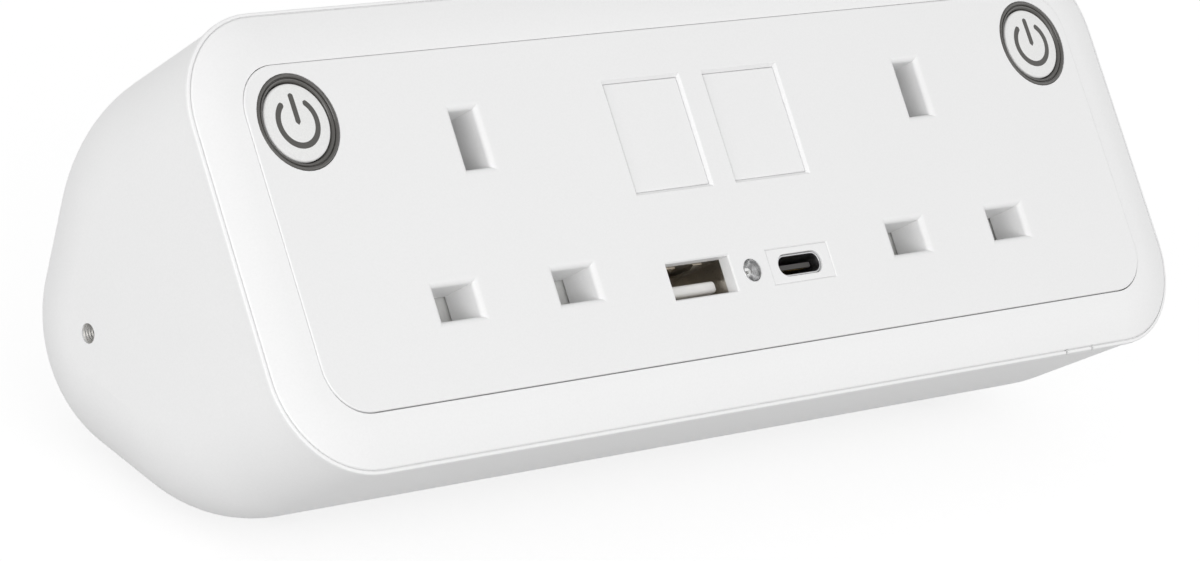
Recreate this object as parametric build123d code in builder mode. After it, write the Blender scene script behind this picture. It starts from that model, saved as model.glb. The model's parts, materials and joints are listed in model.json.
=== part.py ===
from build123d import *
import os
from math import cos, radians, sin, tan

# Desktop power module: a wedge-backed housing with two shuttered 13 A sockets on a sloping face.
# Lengths are millimetres and angles degrees. Each piece is placed from the face: u runs across it,
# v runs up it and w points out of it, all from the middle of the faceplate's front.

# Stance
face_tilt = 45.0
foot_proud = 1.2

# Faceplate
plate_length = 165.7
plate_height = 48.4
plate_corner = 6.8
plate_thickness = 2.5
plate_edge = 0.2
plate_gap = 0.08
plate_proud = 0.2

# Bezel, a crowned ring round the faceplate
bezel_margin = 7.87
crown_drop = 1.35
lip_height = 0.8
lip_edge = 0.35
rim_width = 0.45
rim_drop = 0.12
rim_edge = 0.25
seam_width = 0.15
seam_depth = 0.35
ledge_width = 2.0
ledge_thickness = 2.0
bezel_rib = 1.5
spigot_depth = 6.0
spigot_clearance = 0.3
slit_u = 66.5
slit_pitch = 5.9
slit_width = 0.5
slit_depth = 1.0

# Housing shell
lip_overhang = 0.2
wall = 2.4
draft_angle = 2.0
apex_depth = 64.0
shoulder_radius = 28.0
apex_radius = 20.5
end_radius = 14.7
rib_pitch = 64.0
rib_thickness = 1.6
rib_height = 3.0
rib_start = 24.0

# Case screws and the posts they join
screw_room = 2.5
screw_out = 0.92
post_radius = 3.2
post_end = 19.0
post_root = 0.5
thread_fit = 0.03
tunnel_radius = 5.0
tunnel_floor = 2.0
tunnel_clearance = 0.2
screw_head_radius = 2.8
screw_head_height = 2.2
screw_shank_radius = 1.25
screw_shank_length = 11.0
screw_tip_room = 2.0
screw_hole_clearance = 0.4
drive_radius = 1.2
drive_depth = 1.2

# Sockets to the British three-pin layout
socket_share = 0.54315
pin_spread = 22.23
pin_rise = 22.23
line_slot_width = 7.4
line_slot_height = 4.7
earth_slot_width = 4.6
earth_slot_height = 8.4
aperture_edge = 0.9
collar_wall = 1.0
collar_depth = 6.4

# Socket carrier, with its shutter track and contact chambers
carrier_width = 36.0
carrier_head_room = 2.28
carrier_foot_room = 1.08
carrier_back = 22.0
carrier_corner = 2.0
carrier_wall = 1.2
line_chamber_width = 8.6
line_chamber_height = 7.6
earth_chamber_width = 6.4
earth_chamber_height = 10.4
ear_length = 6.0
ear_width = 7.0
ear_thickness = 2.4
ear_v = -6.0
carrier_post_radius = 2.4
carrier_post_height = 5.0
carrier_screw_radius = 1.0
carrier_screw_head_radius = 1.9
carrier_screw_head = 1.4
carrier_screw_length = 6.4
carrier_screw_drive = 0.9
carrier_screw_drive_depth = 0.7

# Shutter and its spring
shutter_thickness = 1.8
shutter_gap = 0.35
shutter_cover = 0.35
shutter_room = 0.485
bridge_rise = 2.4
stem_width = 4.2
ramp_toe = 1.4
track_gap = 0.4
spring_radius = 1.5
spring_wire = 0.25
spring_turns = 5
spring_pocket = 5.0

# Contacts and bars
strip_thickness = 0.7
clip_leaf = 0.6
clip_gap = 3.2
clip_flare = 0.7
clip_flare_length = 1.0
clip_width = 6.0
clip_mouth = 10.0
earth_clip_mouth = 15.2
live_run_v = 0.5
live_run_width = 5.0
neutral_run_v = -18.9
neutral_run_width = 3.0
feed_rise = 2.3
feed_run_width = 3.0
earth_run_width = 6.0
blade_width = 4.0
blade_thickness = 0.8
blade_offset = 3.0

# Terminals for the mains lead
terminal_u = -16.0
terminal_gap = 4.0
terminal_width = 7.0
terminal_height = 6.0
terminal_depth = 8.5
terminal_bore = 1.9
terminal_floor = 1.1
terminal_edge = 0.4
terminal_screw_radius = 1.5
terminal_screw_length = 4.5
terminal_screw_proud = 1.0
terminal_slot_width = 0.6
terminal_slot_depth = 0.7

# Power buttons and their switches
button_inset_u = 8.45
button_inset_v = 8.2
button_radius = 5.5
button_dome = 0.15
button_sink = 0.2
button_edge = 0.3
button_gap = 0.3
button_flange = 0.9
button_flange_height = 0.8
button_wall = 1.2
button_travel = 1.5
button_play = 0.3
stem_radius = 2.6
stem_height = 0.5
ring_width = 1.05
ring_proud = 0.1
ring_edge = 0.3
ring_flange = 0.7
ring_flange_height = 0.8
ring_fit = 0.03
ring_room = 0.4
plunger_radius = 1.9
plunger_length = 5.2
plunger_gap = 0.3
plunger_room = 0.4
switch_size = 11.0
switch_depth = 10.5
switch_drop = 6.7
switch_corner = 0.8
tongue_length = 9.0
tongue_thickness = 1.8
switch_post_pitch = 6.8
switch_post_drop = 11.0
switch_post_radius = 1.9
peg_radius = 0.9
peg_fit = 0.05
peg_head = 0.6

# Data windows and their blanks
window_width = 14.7
window_height = 16.2
window_pitch = 20.0
window_v = 8.7
window_chamfer = 0.45
blank_gap = 0.12
blank_recess = 0.35
blank_face = 1.6
blank_wall = 1.2
blank_depth = 9.0
blank_lip = 0.8
blank_lip_height = 1.2

# Moulded hooks behind the faceplate
hook_room = 1.0
end_hook_v = -8.0
hook_length = 8.0
hook_thickness = 1.3
hook_nib = 0.6
hook_nib_height = 1.0
hook_gap = 0.2

# USB ports and lamp
port_pitch = 20.2
port_v = -12.75
usb_a_width = 12.5
usb_a_height = 5.3
usb_a_chamfer = 0.2
usb_a_seat = 0.5
usb_a_room = 0.5
usb_a_corner = 0.5
usb_a_depth = 14.0
usb_a_sheet = 0.4
usb_a_tongue_width = 11.0
usb_a_tongue_height = 1.7
usb_a_tongue_lift = 1.0
usb_a_tongue_set_back = 0.55
usb_a_tongue_corner = 0.8
usb_c_window_width = 12.7
usb_c_window_height = 5.2
usb_c_window_chamfer = 0.15
usb_c_width = 8.94
usb_c_height = 3.26
usb_c_sheet = 0.3
usb_c_depth = 9.0
usb_c_recess = 0.7
usb_c_tongue_width = 6.7
usb_c_tongue_height = 0.7
usb_c_tongue_set_back = 0.9
usb_c_leg_length = 2.0
usb_c_leg_width = 0.8
surround_gap = 0.1
surround_recess = 0.1
surround_lip = 0.9
surround_lip_height = 1.0
lamp_radius = 1.65
lamp_gap = 0.06
lamp_dome = 0.3
lamp_flange = 0.4
lamp_flange_height = 1.0
lamp_body = 4.0
lamp_lead = 0.5
lamp_lead_pitch = 1.27

# Charger board and what stands on it
board_width = 38.0
board_thickness = 1.2
board_depth = 17.0
board_set_back = 1.2
rail_length = 9.5
rail_thickness = 1.6
rail_gap = 0.2
rail_ledge = 1.4
core_width = 12.0
core_height = 9.0
core_depth = 6.0
core_limb = 2.2
winding_bulge = 1.2
transformer_u = 7.0
transformer_w = -15.6
capacitor_radius = 2.6
capacitor_height = 9.0
capacitor_edge = 0.4
capacitor_u = 16.2
capacitor_w = -16.4

# Mains inlet in the back slope
inlet_radius = 4.9
grommet_bore = 3.6
grommet_lip = 1.3
grommet_lip_height = 1.2
grommet_edge = 0.4
grommet_fit = 0.1
clamp_u = 18.0
clamp_post_pitch = 17.0
clamp_post_radius = 2.8
clamp_post_height = 5.0
clamp_length = 22.6
clamp_width = 6.0
clamp_thickness = 1.8
clamp_arch_radius = 4.2
clamp_screw_radius = 1.1
clamp_screw_head_radius = 2.2
clamp_screw_head = 1.6
clamp_screw_length = 6.4
clamp_screw_drive = 1.0
clamp_screw_drive_depth = 0.8

# End fixings, square to the drafted end faces
end_hole_radius = 1.4
end_hole_depth = 36.0
insert_radius = 1.9
insert_bore = 1.05
insert_length = 6.0
insert_fit = 0.02
end_boss_radius = 4.2
end_boss_length = 8.0

# Feet under the lower slope
foot_radius = 3.5
foot_pocket = 0.8
foot_fit = 0.1
foot_edge = 0.4
foot_pitch_u = 104.0
foot_pitch_along = 16.0

# Sizes worked out from the ones above
touch = 0.01
seam_w = -(plate_proud + crown_drop + lip_height)
plate_back = -plate_thickness
ledge_back = plate_back - ledge_thickness
window_half_u = plate_length / 2 + plate_gap
window_half_v = plate_height / 2 + plate_gap
ledge_half_u = window_half_u - ledge_width
ledge_half_v = window_half_v - ledge_width
bezel_half_u = window_half_u + bezel_margin
bezel_half_v = window_half_v + bezel_margin
housing_half_u = bezel_half_u - lip_overhang
housing_half_v = bezel_half_v - lip_overhang
slope_rise = tan(radians(face_tilt))
slope_sin = sin(radians(face_tilt))
slope_cos = cos(radians(face_tilt))
draft_run = tan(radians(draft_angle))
draft_cos = cos(radians(draft_angle))
draft_sin = sin(radians(draft_angle))
socket_u = plate_length * socket_share / 2
button_u = plate_length / 2 - button_inset_u
button_v = plate_height / 2 - button_inset_v
switch_post_v = button_v - switch_post_drop
feed_run_v = button_v + feed_rise
carrier_top = ledge_half_v - carrier_head_room
carrier_bottom = ledge_half_v - carrier_foot_room
screw_u = socket_u + carrier_width / 2 + screw_room
screw_v = window_half_v + screw_out
hook_u = socket_u - carrier_width / 2 - hook_room - hook_length / 2
port_u = port_pitch / 2
line_v = -pin_rise / 2
earth_v = pin_rise / 2
bar_front = -carrier_back
bar_back = bar_front - strip_thickness
ring_radius = button_radius + button_gap + ring_width
ring_back = plate_back - ring_flange_height
tunnel_front = -post_end - tunnel_clearance
tunnel_back = tunnel_front - tunnel_floor

# The flat of each slope, measured from the sharp apex to where the shoulder starts to turn
shoulder_v = (housing_half_v - (seam_w + apex_depth) * draft_run) / (1 - slope_rise * draft_run)
shoulder_turn = radians(90 - face_tilt - draft_angle)
flat_end = shoulder_v / slope_cos - shoulder_radius * tan(shoulder_turn / 2)
flat_middle = (apex_radius * slope_rise + flat_end) / 2

# The part stands on its feet, with its middle over the origin
back_reach = apex_depth * slope_sin + grommet_lip_height
front_reach = (bezel_half_v - plate_proud - crown_drop) * slope_cos
face_y = (front_reach - back_reach) / 2
face_z = foot_proud + apex_depth * slope_cos
FACE = Plane(
    origin=(0, face_y, face_z),
    x_dir=(1, 0, 0),
    z_dir=(0, -slope_sin, slope_cos),
)


def on_face(u=0.0, v=0.0, w=0.0):
    """Plane parallel to the face, at a place given by u, v and w."""
    return Plane(FACE.from_local_coords((u, v, w)), x_dir=FACE.x_dir, z_dir=FACE.z_dir)


def across(u=0.0, v=0.0, w=0.0):
    """Plane square to the length, with v to its right and w up."""
    return Plane(FACE.from_local_coords((u, v, w)), x_dir=FACE.y_dir, z_dir=FACE.x_dir)


def level(u=0.0, v=0.0, w=0.0):
    """Plane square to the face's height, with u to its right and w up."""
    return Plane(FACE.from_local_coords((u, v, w)), x_dir=FACE.x_dir, z_dir=-FACE.y_dir)


def slope_plane(along, u=0.0, hand=1):
    """Plane on the outside of the upper (1) or lower (-1) slope, at a distance from the sharp apex."""
    place = FACE.from_local_coords((u, hand * along * slope_cos, -apex_depth + along * slope_sin))
    normal = FACE.y_dir * (hand * slope_sin) - FACE.z_dir * slope_cos
    return Plane(place, x_dir=FACE.x_dir, z_dir=normal)


def end_plane(hand):
    """Plane on the outside of the right (1) or left (-1) end, at its fixing hole."""
    end_u = housing_half_u - draft_run * (seam_w + end_hole_depth)
    place = FACE.from_local_coords((hand * end_u, 0, -end_hole_depth))
    normal = FACE.x_dir * (hand * draft_cos) - FACE.z_dir * draft_sin
    return Plane(place, x_dir=FACE.y_dir, z_dir=normal)


def front_rim(part, u, v, width, height):
    """Edges of an aperture where it meets the faceplate's front."""
    def belongs(edge):
        place = FACE.to_local_coords(edge.center())
        near_u = abs(place.X - u) < width / 2 + touch
        near_v = abs(place.Y - v) < height / 2 + touch
        return abs(place.Z) < touch and near_u and near_v
    return part.edges().filter_by(belongs)


def save(part, name):
    """Name a finished piece and write it."""
    part.label = name
    export_step(part, f"parts/{name}.step")


os.makedirs("parts", exist_ok=True)
sides = (("left", -1), ("right", 1))


# Rear housing
def housing_form(inset):
    """The housing's closed form, shrunk by an inset and then carried forward past its open front."""
    side = housing_half_v - inset / draft_cos
    end = housing_half_u - inset / draft_cos
    apex = apex_depth - inset / slope_cos
    front = seam_w + inset
    corner_v = (side - (seam_w + apex) * draft_run) / (1 - slope_rise * draft_run)
    corner_w = -apex + corner_v * slope_rise
    front_v = side + inset * draft_run
    front_u = end + inset * draft_run
    apex_u = end - (seam_w + apex_depth) * draft_run
    with BuildPart() as form:
        with BuildSketch(across()) as section:
            Polygon(
                (-front_v, front), (front_v, front), (corner_v, corner_w),
                (0, -apex), (-corner_v, corner_w),
                align=None,
            )
            fillet(section.vertices().group_by(Axis.Y)[1], shoulder_radius - inset)
            fillet(section.vertices().group_by(Axis.Y)[0], apex_radius - inset)
        extrude(amount=housing_half_u * 2, both=True)
        with BuildSketch(level()):
            Polygon(
                (-front_u, front), (front_u, front), (apex_u, -apex_depth), (-apex_u, -apex_depth),
                align=None,
            )
        extrude(amount=housing_half_v * 2, both=True, mode=Mode.INTERSECT)
        ends = form.faces().filter_by(lambda f: abs(f.normal_at().X) > cos(radians(2 * draft_angle)))
        rim = ends.edges().filter_by(lambda e: FACE.to_local_coords(e.center()).Z < front - touch)
        fillet(rim, end_radius - inset)
    return form.part


clamp_plane = slope_plane(flat_middle, clamp_u)
clamp_seat = clamp_plane.offset(-wall - clamp_post_height)
outer_form = housing_form(0)
inner_form = housing_form(wall)
rib_form = housing_form(wall + rib_height)

with BuildPart() as housing_ribs:
    with BuildSketch(on_face(w=-rib_start)):
        with GridLocations(rib_pitch, 0, 2, 1):
            Rectangle(rib_thickness, bezel_half_v * 2)
    extrude(amount=-apex_depth)
    add(outer_form, mode=Mode.INTERSECT)
    add(rib_form, mode=Mode.SUBTRACT)

with BuildPart() as housing_fittings:
    with BuildSketch(on_face(w=tunnel_front)):
        with GridLocations(2 * screw_u, 2 * screw_v, 2, 2):
            Circle(tunnel_radius)
    extrude(amount=-apex_depth)
    with BuildSketch(clamp_plane):
        with GridLocations(0, clamp_post_pitch, 1, 2):
            Circle(clamp_post_radius)
    extrude(amount=-wall - clamp_post_height)
    for name, hand in sides:
        with BuildSketch(end_plane(hand).offset(-wall - end_boss_length)):
            Circle(end_boss_radius)
        extrude(amount=2 * end_boss_length)
    add(outer_form, mode=Mode.INTERSECT)

feet = [
    (end, side, slope_plane(flat_middle + step * foot_pitch_along / 2, hand * foot_pitch_u / 2, -1).origin)
    for end, step in (("front", 1), ("rear", -1))
    for side, hand in sides
]

with BuildPart() as rear_housing:
    add(outer_form)
    add(inner_form, mode=Mode.SUBTRACT)
    add(housing_ribs.part)
    add(housing_fittings.part)
    with BuildSketch(on_face(w=tunnel_back)):
        with GridLocations(2 * screw_u, 2 * screw_v, 2, 2):
            Circle(screw_head_radius + screw_hole_clearance)
    extrude(amount=-apex_depth, mode=Mode.SUBTRACT)
    with BuildSketch(on_face(w=tunnel_front)):
        with GridLocations(2 * screw_u, 2 * screw_v, 2, 2):
            Circle(screw_shank_radius + screw_hole_clearance)
    extrude(amount=-2 * tunnel_floor, mode=Mode.SUBTRACT)
    with BuildSketch(slope_plane(flat_middle)):
        Circle(inlet_radius)
    extrude(amount=2 * wall, both=True, mode=Mode.SUBTRACT)
    with BuildSketch(clamp_seat):
        with GridLocations(0, clamp_post_pitch, 1, 2):
            Circle(clamp_screw_radius + thread_fit)
    extrude(amount=clamp_post_height, mode=Mode.SUBTRACT)
    for name, hand in sides:
        with BuildSketch(end_plane(hand).offset(-wall)):
            Circle(insert_radius + insert_fit)
        extrude(amount=-end_boss_length, mode=Mode.SUBTRACT)
        with BuildSketch(end_plane(hand)):
            Circle(end_hole_radius)
        extrude(amount=wall, both=True, mode=Mode.SUBTRACT)
    with BuildSketch(Plane.XY):
        with Locations(*[(spot.X, spot.Y) for end, side, spot in feet]):
            Circle(foot_radius + foot_fit)
    extrude(amount=foot_proud + foot_pocket, mode=Mode.SUBTRACT)
save(rear_housing.part, "rear_housing")

for end, side, spot in feet:
    with BuildPart() as foot:
        with BuildSketch(Plane((spot.X, spot.Y, 0))):
            Circle(foot_radius)
        extrude(amount=foot_proud + foot_pocket)
        fillet(foot.edges().group_by(Axis.Z)[0], foot_edge)
    save(foot.part, f"{end}_{side}_foot")

with BuildPart() as case_screws:
    with BuildSketch(on_face(w=tunnel_back)):
        with GridLocations(2 * screw_u, 2 * screw_v, 2, 2):
            Circle(screw_head_radius)
    extrude(amount=-screw_head_height)
    with BuildSketch(on_face(w=tunnel_back)):
        with GridLocations(2 * screw_u, 2 * screw_v, 2, 2):
            Circle(screw_shank_radius)
    extrude(amount=screw_shank_length)
    with BuildSketch(on_face(w=tunnel_back - screw_head_height)):
        with GridLocations(2 * screw_u, 2 * screw_v, 2, 2):
            RegularPolygon(drive_radius, 6)
    extrude(amount=drive_depth, mode=Mode.SUBTRACT)
save(case_screws.part, "case_screws")

for name, hand in sides:
    with BuildPart() as end_insert:
        with BuildSketch(end_plane(hand).offset(-wall)):
            Circle(insert_radius)
            Circle(insert_bore, mode=Mode.SUBTRACT)
        extrude(amount=-insert_length)
    save(end_insert.part, f"{name}_end_insert")

# Front bezel: one section swept round the window, then its screw posts, slits and button room
spigot_out = bezel_margin - lip_overhang - wall - spigot_clearance
spigot_end = seam_w - spigot_depth
spigot_lean = spigot_depth * draft_run
crown_end = -plate_proud - crown_drop
crown_reach = bezel_margin - rim_width - seam_width
crown_corner = (crown_reach, crown_end)
rim_corner = (bezel_margin, crown_end - rim_drop)

with BuildPart() as front_bezel:
    with BuildLine(FACE) as window_path:
        FilletPolyline(
            (0, -window_half_v),
            (window_half_u, -window_half_v),
            (window_half_u, window_half_v),
            (-window_half_u, window_half_v),
            (-window_half_u, -window_half_v),
            radius=[0, plate_corner, plate_corner, plate_corner, plate_corner],
            close=True,
        )
    section_plane = Plane(
        FACE.from_local_coords((0, -window_half_v, 0)), x_dir=-FACE.y_dir, z_dir=-FACE.x_dir
    )
    with BuildSketch(section_plane) as bezel_section:
        with BuildLine():
            crown = ThreePointArc(
                (0, -plate_proud),
                (crown_reach / 2, -plate_proud - crown_drop / 4),
                (crown_reach, crown_end),
            )
            Polyline(
                crown @ 1,
                (crown_reach, crown_end - seam_depth),
                (crown_reach + seam_width, crown_end - seam_depth),
                (crown_reach + seam_width, crown_end - rim_drop),
                (bezel_margin, crown_end - rim_drop),
                (bezel_margin, seam_w),
                (spigot_out, seam_w),
                (spigot_out - spigot_lean, spigot_end),
                (spigot_out - spigot_lean - bezel_rib, spigot_end),
                (spigot_out - bezel_rib, seam_w),
                (bezel_rib, seam_w),
                (bezel_rib, ledge_back),
                (-ledge_width, ledge_back),
                (-ledge_width, plate_back),
                (0, plate_back),
                crown @ 0,
            )
        make_face()
        fillet(bezel_section.vertices().sort_by_distance(crown_corner)[0], lip_edge)
        fillet(bezel_section.vertices().sort_by_distance(rim_corner)[0], rim_edge)
    sweep(path=window_path.wire())
    with BuildSketch(on_face(w=plate_back - post_root)):
        with GridLocations(2 * screw_u, 2 * screw_v, 2, 2):
            Circle(post_radius)
    extrude(amount=-post_end - plate_back + post_root)
    with BuildSketch(on_face(w=-post_end)):
        with GridLocations(2 * screw_u, 2 * screw_v, 2, 2):
            Circle(screw_shank_radius + thread_fit)
    extrude(
        amount=screw_shank_length - tunnel_floor - tunnel_clearance + screw_tip_room,
        mode=Mode.SUBTRACT,
    )
    with BuildSketch(on_face(w=plate_back)):
        with GridLocations(2 * button_u, 0, 2, 1):
            with Locations((0, button_v)):
                Circle(ring_radius + ring_flange + ring_room)
    extrude(amount=-2 * ledge_thickness, mode=Mode.SUBTRACT)
    with BuildSketch(on_face(w=seam_w)):
        with Locations((slit_u, -bezel_half_v), (slit_u + slit_pitch, -bezel_half_v)):
            Rectangle(slit_width, 2 * slit_depth)
    extrude(amount=lip_height, mode=Mode.SUBTRACT)
save(front_bezel.part, "front_bezel")

# Faceplate
line_slots = [(hand * socket_u + step * pin_spread / 2, line_v) for name, hand in sides for step in (-1, 1)]
earth_slots = [(hand * socket_u, earth_v) for name, hand in sides]
windows = [(hand * window_pitch / 2, window_v) for name, hand in sides]
buttons = [(hand * button_u, button_v) for name, hand in sides]
carrier_screw_spots = [
    (hand * socket_u + step * (carrier_width + ear_length) / 2, ear_v)
    for name, hand in sides
    for step in (-1, 1)
]
switch_posts = [
    (hand * button_u + step * switch_post_pitch / 2, switch_post_v)
    for name, hand in sides
    for step in (-1, 1)
]
hook_arm_v = ledge_half_v - hook_gap - hook_thickness / 2
hook_arm_u = ledge_half_u - hook_gap - hook_thickness / 2
hook_nib_reach = hook_thickness + hook_gap + hook_nib
hook_tip = ledge_back - hook_gap - hook_nib_height
blank_half_v = window_height / 2 - blank_gap
keeper_v = blank_half_v + blank_lip + hook_gap + hook_thickness / 2
keeper_nib = hook_thickness + hook_gap + hook_nib
lip_back = plate_back - blank_lip_height
board_top_v = port_v - usb_a_height / 2 - usb_a_sheet
board_bottom_v = board_top_v - board_thickness
rail_half_v = board_thickness / 2 + rail_gap + rail_thickness

with BuildPart() as faceplate:
    with BuildSketch(on_face()):
        RectangleRounded(plate_length, plate_height, plate_corner)
    extrude(amount=plate_back)
    fillet(faceplate.faces().sort_by(Axis(FACE.origin, FACE.z_dir))[-1].edges(), plate_edge)
    with BuildSketch(on_face(w=plate_back)):
        with Locations(*line_slots):
            Rectangle(line_slot_width + 2 * collar_wall, line_slot_height + 2 * collar_wall)
        with Locations(*earth_slots):
            Rectangle(earth_slot_width + 2 * collar_wall, earth_slot_height + 2 * collar_wall)
    extrude(amount=-collar_depth - plate_back)
    with BuildSketch(on_face()):
        with Locations(*line_slots):
            Rectangle(line_slot_width, line_slot_height)
        with Locations(*earth_slots):
            Rectangle(earth_slot_width, earth_slot_height)
    extrude(amount=-collar_depth, mode=Mode.SUBTRACT)
    with BuildSketch(on_face()):
        with Locations(*windows):
            Rectangle(window_width, window_height)
        with Locations((-port_u, port_v)):
            Rectangle(usb_a_width, usb_a_height)
        with Locations((port_u, port_v)):
            Rectangle(usb_c_window_width, usb_c_window_height)
    extrude(amount=plate_back, mode=Mode.SUBTRACT)
    for u, v in line_slots:
        fillet(front_rim(faceplate, u, v, line_slot_width, line_slot_height), aperture_edge)
    for u, v in earth_slots:
        fillet(front_rim(faceplate, u, v, earth_slot_width, earth_slot_height), aperture_edge)
    for u, v in windows:
        chamfer(front_rim(faceplate, u, v, window_width, window_height), window_chamfer)
    chamfer(front_rim(faceplate, -port_u, port_v, usb_a_width, usb_a_height), usb_a_chamfer)
    chamfer(
        front_rim(faceplate, port_u, port_v, usb_c_window_width, usb_c_window_height),
        usb_c_window_chamfer,
    )
    with BuildSketch(on_face(-port_u, port_v, plate_back)):
        Rectangle(usb_a_width + 2 * usb_a_room, usb_a_height + 2 * usb_a_room)
    extrude(amount=usb_a_seat, mode=Mode.SUBTRACT)
    with BuildSketch(on_face()):
        with Locations(*buttons):
            Circle(ring_radius + ring_fit)
        with Locations((0, port_v)):
            Circle(lamp_radius + lamp_gap)
    extrude(amount=plate_back, mode=Mode.SUBTRACT)

    # Hooks that snap behind the bezel's ledge
    with BuildSketch(on_face(w=plate_back)):
        with GridLocations(2 * hook_u, 2 * hook_arm_v, 2, 2):
            Rectangle(hook_length, hook_thickness)
        with Locations((-hook_arm_u, end_hook_v), (hook_arm_u, end_hook_v)):
            Rectangle(hook_thickness, hook_length)
    extrude(amount=hook_tip - plate_back)
    with BuildSketch(on_face(w=hook_tip)):
        with GridLocations(2 * hook_u, 2 * hook_arm_v + hook_gap + hook_nib, 2, 2):
            Rectangle(hook_length, hook_nib_reach)
        for step in (-1, 1):
            with Locations((step * (hook_arm_u + (hook_gap + hook_nib) / 2), end_hook_v)):
                Rectangle(hook_nib_reach, hook_length)
    extrude(amount=hook_nib_height)

    # Keepers above and below each data window
    with BuildSketch(on_face(0, window_v, plate_back)):
        with GridLocations(window_pitch, 2 * keeper_v, 2, 2):
            Rectangle(hook_length, hook_thickness)
    extrude(amount=-blank_lip_height - hook_nib_height)
    with BuildSketch(on_face(0, window_v, lip_back)):
        with GridLocations(window_pitch, 2 * keeper_v - hook_gap - hook_nib, 2, 2):
            Rectangle(hook_length, keeper_nib)
    extrude(amount=-hook_nib_height)

    # Grooved rails for the charger board
    for name, hand in sides:
        rail_u = hand * (board_width / 2 + rail_gap + rail_thickness / 2)
        with BuildSketch(on_face(rail_u, (board_top_v + board_bottom_v) / 2, plate_back)):
            Rectangle(rail_thickness, 2 * rail_half_v)
        extrude(amount=-rail_length)
        ledge_u = hand * (board_width / 2 + rail_gap - rail_ledge / 2)
        with BuildSketch(on_face(ledge_u, board_bottom_v - rail_thickness / 2, plate_back)):
            Rectangle(rail_ledge, rail_thickness)
        extrude(amount=-rail_length)
        with BuildSketch(on_face(ledge_u, board_top_v + rail_gap + rail_thickness / 2, plate_back)):
            Rectangle(rail_ledge, rail_thickness)
        extrude(amount=-rail_length)

    # Posts for the switches and the socket carriers
    with BuildSketch(on_face(w=plate_back)):
        with Locations(*switch_posts):
            Circle(switch_post_radius)
    extrude(amount=plate_thickness - switch_drop)
    with BuildSketch(on_face(w=-switch_drop)):
        with Locations(*switch_posts):
            Circle(peg_radius)
    extrude(amount=-tongue_thickness - peg_head)
    with BuildSketch(on_face(w=plate_back)):
        with Locations(*carrier_screw_spots):
            Circle(carrier_post_radius)
    extrude(amount=-carrier_post_height)
    with BuildSketch(on_face(w=plate_back - carrier_post_height)):
        with Locations(*carrier_screw_spots):
            Circle(carrier_screw_radius + thread_fit)
    extrude(amount=carrier_post_height, mode=Mode.SUBTRACT)
save(faceplate.part, "faceplate")

# Power buttons, their rings, plungers and switches
flange_top = ring_back - button_play
flange_back = flange_top - button_flange_height
stem_end = flange_back - stem_height
plunger_end = stem_end - plunger_length
switch_back = -switch_drop - switch_depth
tongue_foot_v = button_v - switch_size / 2 - tongue_length

for (name, hand), (u, v) in zip(sides, buttons):
    button_axis = Axis(FACE.from_local_coords((u, v, 0)), FACE.z_dir)
    with BuildPart() as power_button:
        with BuildSketch(level(u, v)) as button_section:
            with BuildLine():
                dome = ThreePointArc(
                    (0, button_dome - button_sink),
                    (button_radius / 2, button_dome * 3 / 4 - button_sink),
                    (button_radius, -button_sink),
                )
                Polyline(
                    dome @ 1,
                    (button_radius, flange_top),
                    (button_radius + button_flange, flange_top),
                    (button_radius + button_flange, flange_back),
                    (button_radius - button_wall, flange_back),
                    (button_radius - button_wall, -button_sink - button_wall),
                    (stem_radius, -button_sink - button_wall),
                    (stem_radius, stem_end),
                    (0, stem_end),
                    dome @ 0,
                )
            make_face()
            fillet(button_section.vertices().sort_by_distance((button_radius, -button_sink))[0], button_edge)
        revolve(axis=button_axis)
    save(power_button.part, f"{name}_power_button")

    with BuildPart() as button_ring:
        with BuildSketch(level(u, v)) as ring_section:
            with BuildLine():
                Polyline(
                    (ring_radius - ring_width, ring_proud),
                    (ring_radius, ring_proud),
                    (ring_radius, plate_back),
                    (ring_radius + ring_flange, plate_back),
                    (ring_radius + ring_flange, ring_back),
                    (ring_radius - ring_width, ring_back),
                    close=True,
                )
            make_face()
            fillet(ring_section.vertices().group_by(Axis.Y)[-1], ring_edge)
        revolve(axis=button_axis)
    save(button_ring.part, f"{name}_button_ring")

    with BuildPart() as switch_plunger:
        with BuildSketch(on_face(u, v, stem_end)):
            Circle(plunger_radius)
        extrude(amount=-plunger_length)
    save(switch_plunger.part, f"{name}_switch_plunger")

    with BuildPart() as switch_body:
        with BuildSketch(on_face(u, v, -switch_drop)):
            RectangleRounded(switch_size, switch_size, switch_corner)
        extrude(amount=-switch_depth)
        with BuildSketch(on_face(u, (tongue_foot_v + v) / 2, -switch_drop)):
            Rectangle(switch_size, v - tongue_foot_v)
        extrude(amount=-tongue_thickness)
        with BuildSketch(on_face(u, v, -switch_drop)):
            Circle(plunger_radius + plunger_gap)
        extrude(amount=plunger_end + switch_drop - button_travel - plunger_room, mode=Mode.SUBTRACT)
        with BuildSketch(on_face(u, switch_post_v, -switch_drop)):
            with GridLocations(switch_post_pitch, 0, 2, 1):
                Circle(peg_radius + peg_fit)
        extrude(amount=-tongue_thickness, mode=Mode.SUBTRACT)
    save(switch_body.part, f"{name}_switch_body")

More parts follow.
